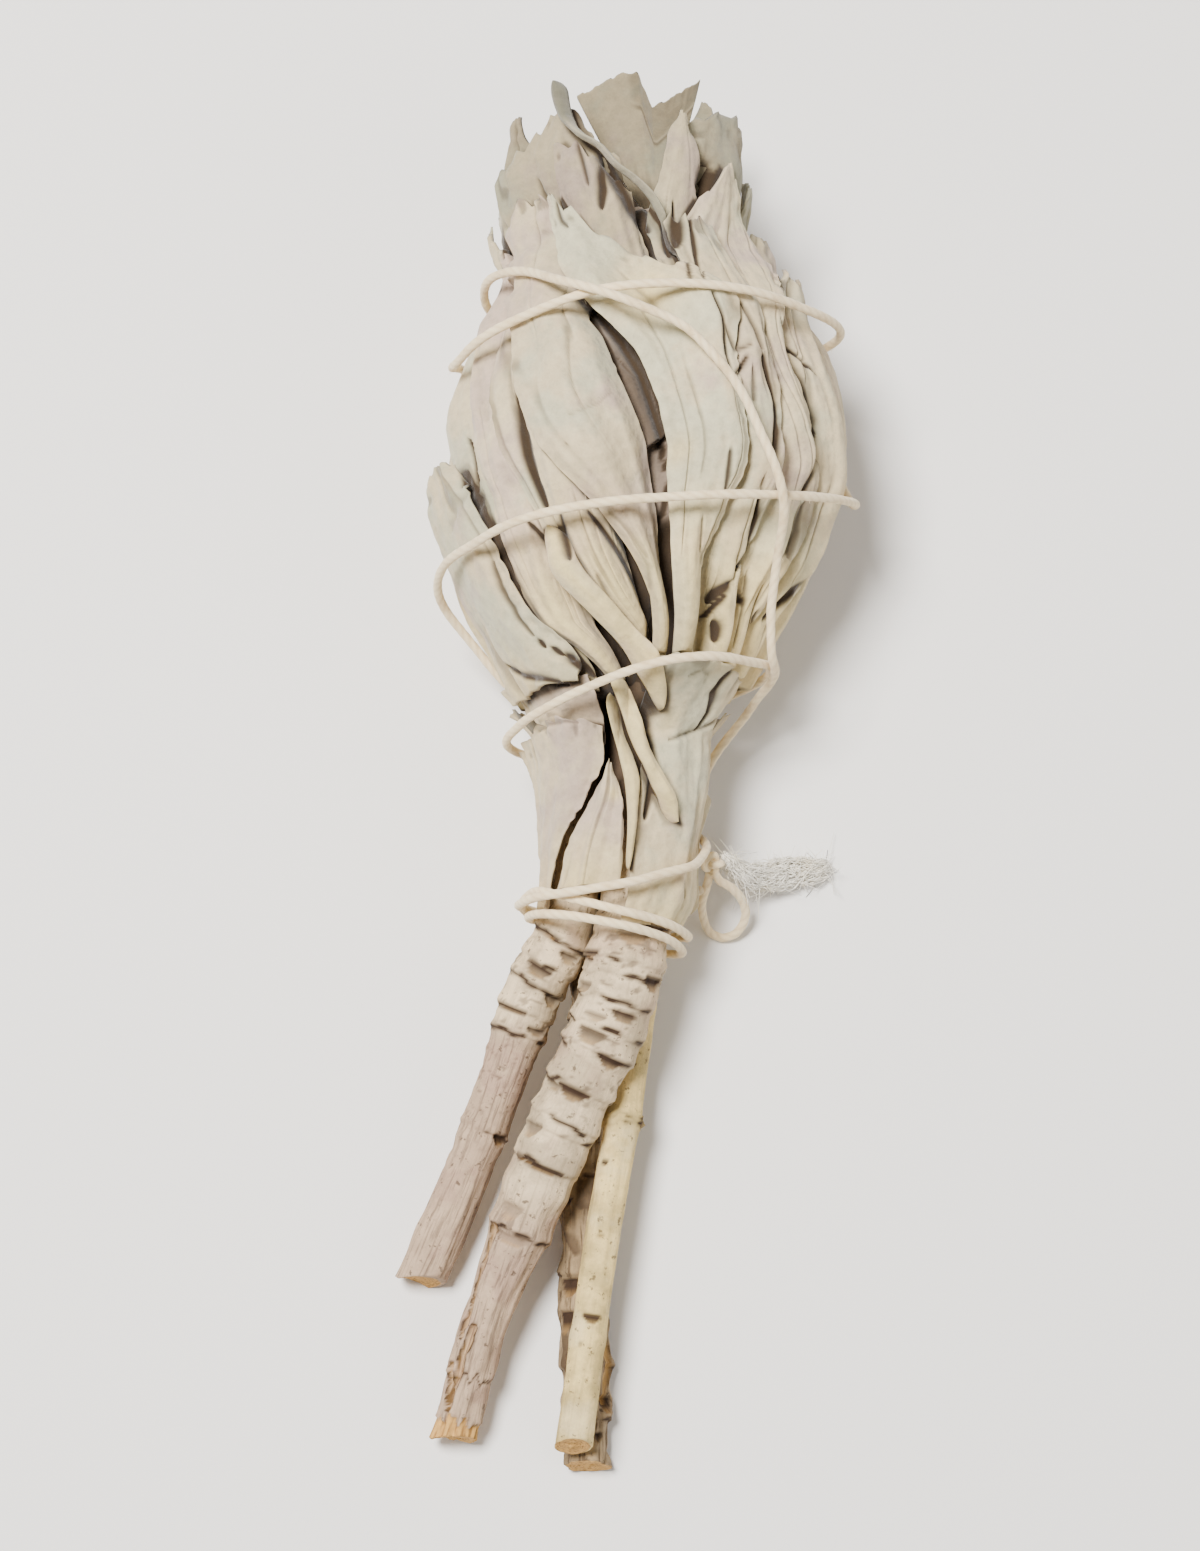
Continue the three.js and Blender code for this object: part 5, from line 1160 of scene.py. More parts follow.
class SAGE_OT_camera(bpy.types.Operator):
    """Stand the camera over the bunch, leaning towards the stems"""

    bl_idname = "sage.camera"
    bl_label = "Camera"

    def execute(self, context):
        stage = context.scene.sage_stage
        data = bpy.data.cameras.new("camera")
        data.sensor_fit, data.sensor_width, data.lens = "HORIZONTAL", SENSOR_WIDTH, stage.lens
        data.clip_start, data.clip_end = CLIP_START, CLIP_END
        camera = add_object("camera", data)
        sine, cosine = math.sin(stage.tilt), math.cos(stage.tilt)
        aim = Vector((-MIDDLE[0] * MM, -MIDDLE[1] * MM, 0))
        place = aim + stage.distance * Vector((0, -sine, cosine))
        camera.matrix_world = Matrix((
            (1, 0, 0, place.x), (0, cosine, -sine, place.y), (0, sine, cosine, place.z), (0, 0, 0, 1)
        ))
        context.scene.camera = camera
        return {"FINISHED"}


# ---- the bow and the frayed end
BOW = [
    (15.7, -16.6, 12.4), (16.6, -17.6, 11.2), (18.2, -18.2, 9.4), (19.8, -19.4, 6.6), (20.3, -21.2, 3.9),
    (19.2, -23, 1.9), (17.2, -23.6, 1), (15.3, -22.8, 1.6), (14.4, -21.2, 3.9), (14.2, -19.6, 7),
    (14.7, -18.2, 9.6), (15.2, -16.4, 11.6),
]
FRAYED_END = [
    (16.9, -14, 11.2), (18.6, -15.2, 8.6), (20.8, -15.9, 5.8), (23.6, -15.2, 3.3), (26.8, -14.4, 2.2),
    (30, -14.2, 1.7), (32.4, -13.4, 1.5),
]
fray_radius = through([(0, 0.7), (0.3, 1.3), (0.6, 1.55), (0.85, 1.45), (1, 0.7)])
PLIES = 3
PLY_OFFSET, PLY_RADIUS = 0.14, 0.86  # shares of the twine's radius
GROOVE_SHADE = 0.45  # how dark the painted shade of the twine is between its plies
BOW_STEP = 0.15  # distance between the rings of the bow's mesh
BOW_SIDES = 20
FRAY_STEP = 0.25
FLUFF_CORE = 0.38  # radius of the fluff's core, as a share of the cloud's
# sides of the fluff's core, and how dark its painted shade is
CORE_SIDES, CORE_SHADE = 16, 0.35
FIBRE_SIDES = 3
FLUFF_FLOOR = 0.1  # the fibres' lowest height
FLUFF_SEED = 5
STANDING_SHADE = 0.05  # how dark the painted shade of the short fibres is


def ply_section(angle):
    """The outline of three plies side by side, as a share of the twine's radius."""
    apart = 2 * np.pi / PLIES
    off = (angle + apart / 2) % apart - apart / 2
    return PLY_OFFSET * np.cos(off) + np.sqrt(PLY_RADIUS**2 - (PLY_OFFSET * np.sin(off)) ** 2)


def twisted(line, radius, lay, sides, step, closed=False):
    """A twine of three plies along a line: points, faces and the painted shade of each point, darker the
    deeper it lies in a groove.
    """
    turn_per_ring = 2 * np.pi * step / lay

    def radius_at(ring, angle):
        thick = 1 + 0.05 * noise(ring * step / 2.3, 0 * ring)
        return radius * thick * ply_section(angle - ring * turn_per_ring)

    points, faces = tube(line, radius_at, sides, closed)
    ring, angle = np.divmod(np.arange(len(line) * sides), sides)
    share = ply_section(angle * 2 * np.pi / sides - ring * turn_per_ring)
    return points, faces, GROOVE_SHADE * (1 - share) / (1 - ply_section(np.pi / PLIES))


def whisker(start, directions, radius, taper=0.5):
    """A thin three-sided fibre through start and the points that the directions lead to."""
    line = np.vstack([start, start + np.cumsum(directions, 0)])
    count = len(line) - 1
    return tube(line, lambda ring, angle: radius * (1 - taper * ring / count) + 0 * angle, FIBRE_SIDES)


def twine_piece(name, node_name, points, faces, cotton_painted_shade, finish_name="Cotton Twine", **values):
    cotton = finish("Cotton", finish_name, **values)
    return make_piece(name, points, faces, cotton, node_name, {"Groove": cotton_painted_shade})


def around_line(side, up, angle):
    """Unit vectors that point away from a line at angles round it."""
    return side * np.cos(angle) + up * np.sin(angle)


class Cloud:
    """The cloud of loose fibres round the frayed end's line."""

    def __init__(self, fibre_radius):
        self.draw = np.random.default_rng(FLUFF_SEED)
        self.line = smooth_line(FRAYED_END, FRAY_STEP)
        self.count = len(self.line)
        self.spread = fray_radius(np.linspace(0, 1, self.count))
        self.side, self.up = frames_along(self.line)[1:]
        self.fibre_radius = fibre_radius

    def core(self):
        """The lumpy mass of fibres that can't be told apart."""

        def radius_at(ring, angle):
            lumps = 0.8 + 0.2 * noise(angle * 2.2, ring / 4.0, 3)
            return FLUFF_CORE * self.spread[ring] * lumps

        return tube(self.line, radius_at, CORE_SIDES)

    def drifting(self):
        """A fibre that wanders along the line, nearer to it and further from it."""
        draw = self.draw
        first = int(draw.integers(0, self.count * 0.7))
        last = int(min(self.count - 1, first + draw.integers(12, 46)))
        ring = np.arange(first, last + 1, 2)
        angle = draw.uniform(0, 2 * np.pi) + draw.normal(0, 0.12) * (ring - first) * 0.35
        wander = draw.uniform(0.35, 1.15) + 0.6 * noise(ring / 7.0, 0 * ring, draw.integers(1, 900))
        out = self.spread[ring] * np.clip(wander, 0.2, 1.7)
        away = around_line(self.side[ring], self.up[ring], angle[:, None])
        strand = self.line[ring] + out[:, None] * away
        strand[:, 2] = np.maximum(strand[:, 2], FLUFF_FLOOR)
        return tube(strand, lambda ring, angle: self.fibre_radius + 0 * ring + 0 * angle, FIBRE_SIDES)

    def standing(self):
        """A short fibre that stands off the cloud and bends over."""
        draw = self.draw
        i = int(draw.integers(2, self.count - 1))
        out = around_line(self.side[i], self.up[i], draw.uniform(0, 2 * np.pi))
        lean = unit(out * draw.uniform(0.3, 1) + draw.normal(0, 0.7, 3))
        bend = draw.normal(0, 0.45, 3)
        steps = np.array([lean, lean + bend, lean + 2 * bend, lean + 3 * bend]) * draw.uniform(0.2, 0.55)
        start = self.line[i] + out * self.spread[i] * draw.uniform(0.5, 1.1)
        points, faces = whisker(start, steps, self.fibre_radius)
        points[:, 2] = np.maximum(points[:, 2], FLUFF_FLOOR)
        return points, faces


class SAGE_OT_twine_ends(bpy.types.Operator):
    """Make the bow that stands off the knot, and the frayed end of the twine"""

    bl_idname = "sage.twine_ends"
    bl_label = "Bow and Frayed End"

    def execute(self, context):
        sizes = context.scene.sage_twine
        line = smooth_line(BOW, BOW_STEP)
        twine = twisted(line, sizes.radius / MM, sizes.lay / MM, BOW_SIDES, BOW_STEP)
        bow = twine_piece("bow_cord", "twine_bow", *twine)
        fluff = self.frayed_end(context.scene.sage_colours, sizes)
        return {"FINISHED"}

    def frayed_end(self, colours, sizes):
        """A soft core in a cloud of loose fibres that drift apart and back along it."""
        cloud = Cloud(sizes.fray / MM)
        # painted shade: the core darker, each drifting fibre a little, at random
        parts, painted_shades = [cloud.core()], [CORE_SHADE]
        for _ in range(sizes.fibres):
            parts.append(cloud.drifting())
            painted_shades.append(cloud.draw.uniform(0, 0.12))
        for _ in range(sizes.fibres // 2):
            parts.append(cloud.standing())
            painted_shades.append(STANDING_SHADE)
        points, faces = join(parts)
        cotton_painted_shade = np.repeat(painted_shades, [len(part[0]) for part in parts])
        # the fluff's painted shade is a darker cream
        return twine_piece("frayed_fluff", "twine_frayed_end", points, faces, cotton_painted_shade, "Cotton Fluff",
                           Cotton=colours.fluff, Shade=shade(252, 240, 212))


# ---- pieces: the leaves
STALK_COLUMNS = 18
EDGE_CROWDING = 1.2  # how much closer the columns lie towards the edges
EDGE_AIR, EDGE_DROP = 0.1, 1.4  # air left under a leaf's edge, and how far the edge may turn down
CRUMPLE = 0.4  # how deep a leaf is crumpled near its tip
INNER_SHADE = 0.28  # how dark the painted shade on the inner face of a leaf is at least
STALK_END = 2.2  # over how many mm a stalk rounds off to its cut end
ROLLED_STALK_WIDTH, ROLLED_STUB_WIDTH = 0.55, 0.25  # shares of its CAD width, and what its blunt stub adds
ROLLED_STALK_SHADE, ROLLED_STUB_SHADE = -2.2, -2.6  # and the same of how light it is
TONGUES = {"ring_leaf_6": 5.5}  # how far a leaf's foot reaches down in a tongue
SUNK = {"ring_leaf_6": (44, 58)}  # leaves whose feet fade into painted shade between two stations
# The broad leaf that stands across the middle of the tuft: the points of its trimmed tip, from right to
# left, and the two ends of its foot.
BACK_LEAF_TIPS = [
    (13.8, 89.3, 38.4), (10.6, 87.4, 37.6), (7.2, 86.6, 36.4), (5.1, 91.8, 36), (1.7, 91.3, 35),
    (-1.1, 89.6, 34.4), (-3.2, 88.6, 34),
]
BACK_LEAF_FOOT = [(8.8, 72.2, 31), (6.4, 72.2, 31)]
BACK_LEAF_MESH = (72, 81)  # its rows and columns
# how much painted shade darkens the leaf, which stands in the shade of the tuft
BACK_LEAF_SHADE = -4.0
BACK_LEAF_HOLLOW = 1.6  # how far it sags behind the straight lines from foot to tip
BACK_LEAF_THICKNESS = 0.85
BACK_LEAF_CREASE_AT = 0.66  # where its fold crosses it, as shares of its length
BACK_LEAF_CREASE_SAG = 0.5


def blade_grid(leaf):
    """The columns of a blade's mesh, from its right edge to its left one, and its rows, from cut to tip."""
    rows, columns = leaf.mesh[0], STALK_COLUMNS if leaf.is_stalk else leaf.mesh[1]
    u = np.sin(np.linspace(-1, 1, columns + 1) * EDGE_CROWDING)[None, :] / math.sin(EDGE_CROWDING)
    return u, np.linspace(0, 1, rows + 1)[:, None]


def scallops(leaf, u, y, sizes):
    """How far the waves of a blade's edges stand out."""
    waves = leaf.noise(np.sign(u) * 5 + 0 * y, y / 0.9, 4) + leaf.noise(u * 2, y / 3.1, 6)
    return waves * sizes.crinkle / MM * np.abs(u) ** 3 * (1 - leaf.stalkiness(y))


def stalk_width(leaf, y):
    """The share of its width that a stalk keeps: it rounds off at its ends and narrows to its foot."""
    if not leaf.is_stalk:
        return 1.0
    to_end = np.minimum(np.abs(y - y[:1]), np.abs(y - y[-1:])) / STALK_END
    narrow = np.sqrt(np.clip(1 - (1 - np.clip(to_end, 0, 1)) ** 2, 0.03, 1))
    if not leaf.ends:
        return ROLLED_STALK_WIDTH * narrow + ROLLED_STUB_WIDTH * ease(78.5, 80, y)
    _, fade, foot = leaf.ends
    return narrow * (foot + (1 - foot) * ease(0, 2 * fade, y - y[:1]))


def laid_height(leaf, u, v, y, phi, thick, sizes):
    """The height of a leaf's smooth outer face, its edges turned down onto what lies beneath."""
    bed, beneath = sample(leaf.bed, y, phi), sample(leaf.beneath, y, phi)
    sag = np.clip(bed - beneath - EDGE_AIR, 0, EDGE_DROP) * ease(0.6, 1, np.abs(u)) * (not leaf.is_stalk)
    height = bed - sag + sizes.clearance / MM + leaf.crown(u, v) + thick
    if leaf.ends:
        sink, fade, _ = leaf.ends
        height = height - sink * (1 - ease(0, fade, np.minimum(y - y[:1], y[-1:] - y)))
    return height


def crumples(leaf, u, v, y):
    """The dents near a leaf's tip, from -1 to 1."""
    dents = leaf.noise(u * leaf.half(y) / 5, y / 1.9, 20) * ease(0.84, 0.95, v)
    return dents * (not leaf.is_stalk) * ease(1, 0.9, np.abs(u))


def under_others(inset, y, phi):
    """How dark the shade of the leaves laid later is at a place."""
    near = 0.45 + 0.55 * ease(-0.5, 0.6, noise(phi / 14, y / 5, 61))
    return np.maximum(0.85 * near * ease(-1.4, 0.1, inset) ** 2, 0.9 * ease(0, 0.9, inset))


def stalk_colour(leaf, u, y, phi):
    """Where a leaf is yellow like its stalk, from 0 to 1: along its foot and in its stains."""
    yellow = 1 - ease(leaf.stalk - 4, leaf.stalk + 14, y)
    yellow = yellow * (1 - 0.6 * np.abs(u)) * (leaf.base < 30)
    for radius, strength, station, turn in STAINS:
        stain = strength * np.exp(-squares_away(y, phi, station, turn) / radius**2)
        yellow = np.maximum(yellow, stain)
    return yellow


class SAGE_OT_leaves(bpy.types.Operator):
    """Lay the felted leaves and their stalks on one another"""

    bl_idname = "sage.leaves"
    bl_label = "Leaves"

    def execute(self, context):
        sizes = context.scene.sage_leaves
        pile = finished_pile(context)
        felt = finish("Felt", "Felted Leaf")
        stalk = finish("Felt", "Leaf Stalk", Felt=context.scene.sage_colours.stalk)
        rolled = finish("Felt", "Rolled Leaf", Felt=shade(196, 184, 158), Stalk=shade(196, 184, 158))
        for order, leaf in enumerate(pile.leaves):
            material = stalk if leaf.is_stalk else felt
            self.blade(order, leaf, pile, sizes, rolled if leaf.name == "rolled_stalk" else material)
        self.back_leaf(felt)
        return {"FINISHED"}

    def blade(self, order, leaf, pile, sizes, material):
        """One leaf or stalk: its outer and its inner face, and the marks of its felt."""
        u, v = blade_grid(leaf)
        y = leaf.y_at(u, v) - TONGUES.get(leaf.name, 0) * (1 - u * u) * (1 - v) ** 3
        narrow = stalk_width(leaf, y)
        phi = leaf.middle(y) + u * leaf.half(y) * narrow + np.sign(u) * scallops(leaf, u, y, sizes) / arc(y)
        thick = leaf.thickness(u, y, sizes.blade / MM)
        over = laid_height(leaf, u, v, y, phi, thick, sizes)
        covered = ease(0.2, 1.2, sample(pile.height, y, phi) - over)
        crumpled = crumples(leaf, u, v, y)
        relief = leaf.relief(u, y, sizes) * narrow + CRUMPLE * crumpled
        deep, dark = creased(order, pile.ranks, y, phi)
        over = over + np.where(relief > 0, relief * (1 - 0.85 * covered), relief) - deep
        under = over - thick * (0.85 - 0.4 * np.abs(u) ** 6) - 0.5 * deep
        outer, inner = pile.place(y, phi, over), pile.place(y, phi, under)
        outer[..., 2] = np.maximum(outer[..., 2], 0)
        inner[..., 2] = np.maximum(inner[..., 2], sizes.blade / MM)
        points, faces = two_faced(outer, inner)
        # painted shade in the sharp creases and in the dents near the tip
        dark = np.maximum(dark, 0.42 * leaf.pleats(u, y))
        dark = np.maximum(dark, 0.4 * ease(-0.25, -0.7, crumpled))
        # painted shade: the contact shade of the leaves laid later, with that of the creases
        painted_shade = np.maximum(under_others(pile.inset(order, y, phi), y, phi), dark)
        # painted shade over a leaf's foot, where it sinks into the dark hollow
        if leaf.name in SUNK:
            painted_shade = np.maximum(painted_shade, 0.55 * (1 - ease(*SUNK[leaf.name], y)))
        painted_shade = on_both(painted_shade, np.maximum(dark, INNER_SHADE))
        yellow, tone_and_shade = stalk_colour(leaf, u, y, phi), leaf.tone_and_shade + 0 * y
        if leaf.name == "rolled_stalk":
            tone_and_shade = tone_and_shade + ROLLED_STALK_SHADE + ROLLED_STUB_SHADE * ease(78, 80.5, y)
        marks = felt_marks(painted_shade, on_both(yellow, yellow), on_both(tone_and_shade, tone_and_shade), leaf.hue)
        make_piece(leaf.name + "_blade", points, faces, material, leaf.name, marks)

    def back_leaf(self, material):
        """The broad leaf across the middle of the tuft, folded along a line below its notch."""
        rows, columns = BACK_LEAF_MESH
        share = np.linspace(0, 1, columns + 1)
        tips = np.array(BACK_LEAF_TIPS)
        at = share * (len(tips) - 1)
        tip = np.stack([np.interp(at, np.arange(len(tips)), tips[:, k]) for k in range(3)], 1)
        foot = np.array(BACK_LEAF_FOOT[0]) + share[:, None] * np.subtract(*BACK_LEAF_FOOT[::-1])
        v = np.linspace(0, 1, rows + 1)[:, None]
        grid = foot + (tip - foot) * v[..., None]
        ragged = noise(share * 21, 0 * share, 7) + 0.6 * noise(share * 47, 0 * share, 8)
        grid[..., 1] += 0.3 * ragged * v**6
        across = share[None, :] + 0 * v
        folds = 0.4 * noise(across * 5, v * 2.4, 71) + 0.2 * noise(across * 12, v * 4, 72)
        crease = BACK_LEAF_CREASE_AT + BACK_LEAF_CREASE_SAG * np.abs(across - 0.3) - v
        creased_part = ease(0.62, 0.5, across)
        behind = ease(0.0, 0.05, -crease) * creased_part
        grid[..., 2] += folds - BACK_LEAF_HOLLOW * np.sin(np.pi * v) - 0.7 * behind
        under = grid - np.array([0, 0, BACK_LEAF_THICKNESS])
        points, faces = two_faced(grid, under)
        line = np.exp(-((crease / 0.025) ** 2)) * creased_part
        shadow = np.maximum(0.3 * behind, 0.5 * line) + 0.55 * ease(0.4, 0.1, v)
        marks = felt_marks(on_both(np.clip(shadow, 0, 1), 0.7 * shadow), 0.0, BACK_LEAF_SHADE, 0.0)
        make_piece("back_leaf_blade", points, faces, material, "back_leaf", marks)


# ---- pieces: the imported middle
MIDDLE_START, MIDDLE_END = 6, 71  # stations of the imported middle's two ends
MIDDLE_ROWS, MIDDLE_SIDES = 110, 180
# how much painted shade darkens the packed leaves deep in the head, and their hue
MIDDLE_SHADE, MIDDLE_HUE = -1.5, -0.6
ROSETTE_ROWS = 40
ROSETTE_TURNS = 6  # of the leaves rolled up in the tuft's opening
middle_sink = through([(6, 2), (13, 1.4), (18, 0.6), (24, 0.2), (61, 0.2), (66, 1), (71, 4)])


def packed_folds(phi, y):
    """The folds of the leaves packed in the middle, at places round it."""
    return noise(phi / 9, y / 12, 2) + 0.6 * noise(phi / 4, y / 5, 3)


class SAGE_OT_packed_middle(bpy.types.Operator):
    """Fill the head with the small leaves packed in its middle"""

    bl_idname = "sage.packed_middle"
    bl_label = "Packed Middle"

    def execute(self, context):
        pile = finished_pile(context)
        y = np.linspace(MIDDLE_START, MIDDLE_END, MIDDLE_ROWS)[:, None]
        phi = np.linspace(0, 360, MIDDLE_SIDES, endpoint=False)[None, :]
        seam = ease(330, 360, phi)
        folds = packed_folds(phi, y) * (1 - seam) + packed_folds(phi - 360, y) * seam
        _, dark = creased(0, pile.ranks, y + 0 * phi, phi + 0 * y)
        wall = pile.place(y, phi, 0.7 * folds - middle_sink(y) - 0.6 - 0.8 * dark)
        rosette, ridge = self.rosette(wall[-1], phi)
        grid = np.concatenate([wall, rosette])
        shadow = np.clip(0.34 - 0.2 * folds, 0.1, 0.7)
        shadow = np.maximum(shadow, 0.75 * (1 - ease(24, 31, y) * ease(62, 56, y)))
        shadow = np.concatenate([np.maximum(shadow, dark), 0.7 - 0.6 * ridge])
        packed = finish("Felt", "Packed Leaves", Felt=context.scene.sage_colours.felt_lilac)
        faces = ring_faces(len(grid), MIDDLE_SIDES, inward=True)
        make_piece("packed_leaves", grid.reshape(-1, 3), faces, packed, "packed_middle",
                   felt_marks(shadow, 0.0, MIDDLE_SHADE, MIDDLE_HUE))
        return {"FINISHED"}

    def rosette(self, rim, phi):
        """The leaves rolled up inside the rim of the tuft's opening, and where their edges stand up."""
        share = np.linspace(0.97, 0.03, ROSETTE_ROWS)[:, None]
        sway = 0.12 * noise(phi / 30, share * 4, 5) * np.sin(np.radians(phi / 2))
        coil = share * ROSETTE_TURNS + phi / 360 + sway
        ridge = np.sin(np.pi * (coil % 1)) ** 0.6
        middle = rim.mean(0)
        rolled = middle + (rim - middle) * share[..., None]
        rolled[..., 1] += 2.6 * ridge * (1 - share**6) - 1.0
        return rolled, ridge


# ---- pieces: the shoots
# Each woody shoot: its path, (x, y, z, radius) from its top inside the head to its cut foot; the stations
# where it swells; its rings, (station, angle where the ring is highest); its scars, (station of the upper
# edge, angle, half width, height, darkness), the angle 0 on its right and 90 on top; and its tears, (half
# width, depth, how much wood shows, (station, angle) along it).
SHOOTS = {
    "main_stem": {
        "path": [
            (5, 38, 25.5, 2.2), (5, 15, 22.4, 2.8), (4.8, 0, 20.6, 3.6), (4.8, -12, 19.3, 4.2),
            (4.6, -22, 18, 4.6), (3.4, -30, 17.2, 5.1), (1.2, -38, 16, 5), (-3.4, -48, 14, 4.6),
            (-8.2, -59, 11.8, 4.4), (-11.8, -68, 9.8, 3.7), (-15.6, -78, 7.6, 3.1), (-18.2, -87, 5.6, 3.3),
            (-20, -93.6, 3.7, 3.8),
        ],
        "swells": [-25, -29.5, -33.5, -38, -41.5, -46, -50.5, -55, -60, -65.5],
        "rings": [(-24.9, 75), (-29.9, 80), (-31.6, 40), (-35, 85), (-38.6, 100), (-41.6, 60), (-46.4, 92),
                  (-50.8, 130), (-52.4, 50), (-56.6, 95), (-65.4, 100)],
        "scars": [(-25.4, 84, 2.3, 2.2, 0.55), (-31.4, 32, 1.5, 1.5, 0.85), (-36.4, 68, 1.5, 1.1, 0.75),
                  (-37.6, 108, 1.2, 0.8, 0.5), (-39.6, 106, 1.8, 1.6, 0.7), (-41.8, 58, 1.7, 1.2, 0.85),
                  (-46.9, 92, 1.9, 1.3, 0.85), (-47.3, 130, 1.2, 0.7, 0.5), (-52.6, 140, 1.5, 1.7, 0.5),
                  (-56.8, 128, 1.5, 0.6, 0.55), (-57.1, 88, 2.4, 0.55, 0.9), (-62.6, 118, 1.5, 1.8, 0.4),
                  (-66.2, 96, 2.1, 1.1, 0.35), (-29.6, 150, 1.6, 0.9, 0.7), (-34, 150, 1.5, 1.2, 0.5),
                  (-43, 200, 1.8, 1.2, 0.6), (-36, 240, 1.8, 1.2, 0.6), (-49, 300, 1.8, 1.2, 0.6),
                  (-44.6, 350, 1.6, 1.1, 0.6), (-58, 230, 1.8, 1, 0.5)],
        "tears": [(0.5, 0.5, 0.35, [(-66, 142), (-70, 146), (-76, 145), (-80, 143)]),
                  (0.55, 0.7, 0.3, [(-78.6, 112), (-82, 118), (-86, 122), (-88.6, 124)]),
                  (0.45, 0.6, 0.3, [(-84, 150), (-86.2, 138), (-88.4, 128)]),
                  (0.5, 0.6, 0.5, [(-80, 250), (-86, 245), (-90, 240)])],
        "bark_ends": (-84.4, -90.2),
    },
    "left_stem": {
        "path": [
            (-0.6, 26, 20.5, 1.7), (-1.4, 10, 18.6, 2.2), (-1.9, 0, 17.4, 2.7), (-2.7, -12, 16, 3.1),
            (-3.5, -22, 14.9, 3.4), (-6.2, -28, 13, 3.8), (-9, -33, 11.6, 3.8), (-12, -41, 9.8, 3.4),
            (-15.6, -51, 7.6, 3.2), (-20, -61.6, 5.4, 3.4), (-24.8, -72.4, 3.3, 3.5),
        ],
        "swells": [-25.5, -28.5, -31.5, -35, -38.5, -53],
        "rings": [(-25.8, 90), (-29.2, 70), (-31.9, 110), (-35.6, 90), (-38.4, 75), (-51.2, 95)],
        "scars": [(-27, 52, 1.3, 1.1, 0.6), (-29.8, 96, 1.6, 1.3, 0.75), (-32.4, 36, 1.4, 1.5, 0.55),
                  (-35.8, 118, 1.9, 0.5, 0.85), (-25.8, 110, 1.2, 0.5, 0.6), (-51.4, 36, 1.1, 1.2, 0.95),
                  (-37.4, 48, 1.3, 0.7, 0.6), (-30, 200, 1.5, 1.2, 0.6), (-34, 280, 1.5, 1.2, 0.6)],
        "tears": [],
    },
    "pale_stem": {
        "path": [
            (7, 22, 17.6, 1.3), (7.4, 8, 15.4, 1.7), (7.3, 0, 14, 2), (7, -12, 12.4, 2.2),
            (6.4, -22, 10.9, 2.3), (5.9, -27, 10.2, 2.3), (5.6, -32, 9.4, 2.4), (4.9, -38, 8.7, 2.45),
            (3.9, -45, 8.9, 2.45), (2.8, -52, 9.6, 2.45), (0.9, -63, 10.1, 2.4), (-1.2, -77, 10.1, 2.4),
            (-3.7, -95.2, 9.9, 2.5),
        ],
        "swells": [-50.5, -80],
        "rings": [(-50.8, 20), (-50.2, 60)],
        "scars": [(-49.4, 5, 0.8, 1.6, 0.8), (-56.8, 124, 0.4, 0.6, 0.7), (-66.5, 96, 0.35, 0.35, 0.35),
                  (-77.2, 86, 1.1, 0.9, 0.85), (-81, 110, 0.25, 0.4, 0.4), (-70, 250, 1, 0.8, 0.8)],
        "tears": [],
    },
    "rough_stem": {
        "path": [
            (2.6, 30, 17.2, 1.7), (2.4, 12, 14.8, 2.1), (2, 0, 12.8, 2.5), (1.2, -12, 11.3, 2.7),
            (0.2, -20, 9.7, 2.9), (-0.1, -24, 8.6, 3), (-0.8, -31, 7.2, 3.1), (-1.8, -42, 5.6, 3.1),
            (-2.2, -51, 4.6, 3.1), (-2.4, -62, 3.7, 3.1), (-2.2, -75, 3.2, 3.1), (-1.8, -97.2, 3, 3.1),
        ],
        "swells": [-36, -57, -70, -83, -90],
        "rings": [(-36, 90), (-57, 90), (-70.6, 130), (-83, 60), (-90, 90)],
        "scars": [(-60.6, 138, 1.1, 1.4, 0.8), (-71.6, 128, 1.4, 2.2, 0.9), (-76, 137, 1.2, 2.6, 0.9),
                  (-81.5, 118, 0.9, 1.2, 0.7), (-84.6, 140, 0.9, 1.6, 0.8), (-87.4, 30, 1.2, 2, 0.9),
                  (-92.4, 60, 0.8, 1.2, 0.7), (-66, 300, 1.6, 2, 0.8), (-80, 240, 1.6, 2, 0.8)],
        "tears": [(0.5, 0.5, 0.7, [(-80, 18), (-84, 20), (-88, 24)])],
    },
}
SWELL = 0.07  # how much thicker a shoot is where it swells
SWELL_REACH = 1.3
SCAR_SIZE = 1.2
ROUGHNESS = {"rough_stem": 2.8, "pale_stem": 0.5}
SMOOTH_BARK = {"main_stem": (-57, -66), "left_stem": (-35, -41)}  # where the smooth bark begins
SLANT = {"main_stem": 0.8, "left_stem": 1.0, "pale_stem": 1.8, "rough_stem": 1.2}  # of the cut foot
CRACKED = {"main_stem": 0.5, "left_stem": 0.45, "rough_stem": 0.8}
SHOOT_SIDES = {"main_stem": 84, "left_stem": 72, "pale_stem": 54, "rough_stem": 60}
HIDDEN_STEP = 3  # distance between a shoot's rings inside the head
HEAD_ENDS = -16  # the station below which a shoot shows
SCAR_STRENGTH = 1.5  # how much darker every dark mark of the bark becomes
NECK_SHADE, NECK_DARK = (-14, -8), 0.9  # where painted shade darkens the shoots towards the neck, and how dark it is
CUT_RINGS = ((0.94, -0.05), (0.8, 0.0), (0.55, 0.04), (0.3, 0.08), (0.1, -0.15))  # (share of radius, inwards)


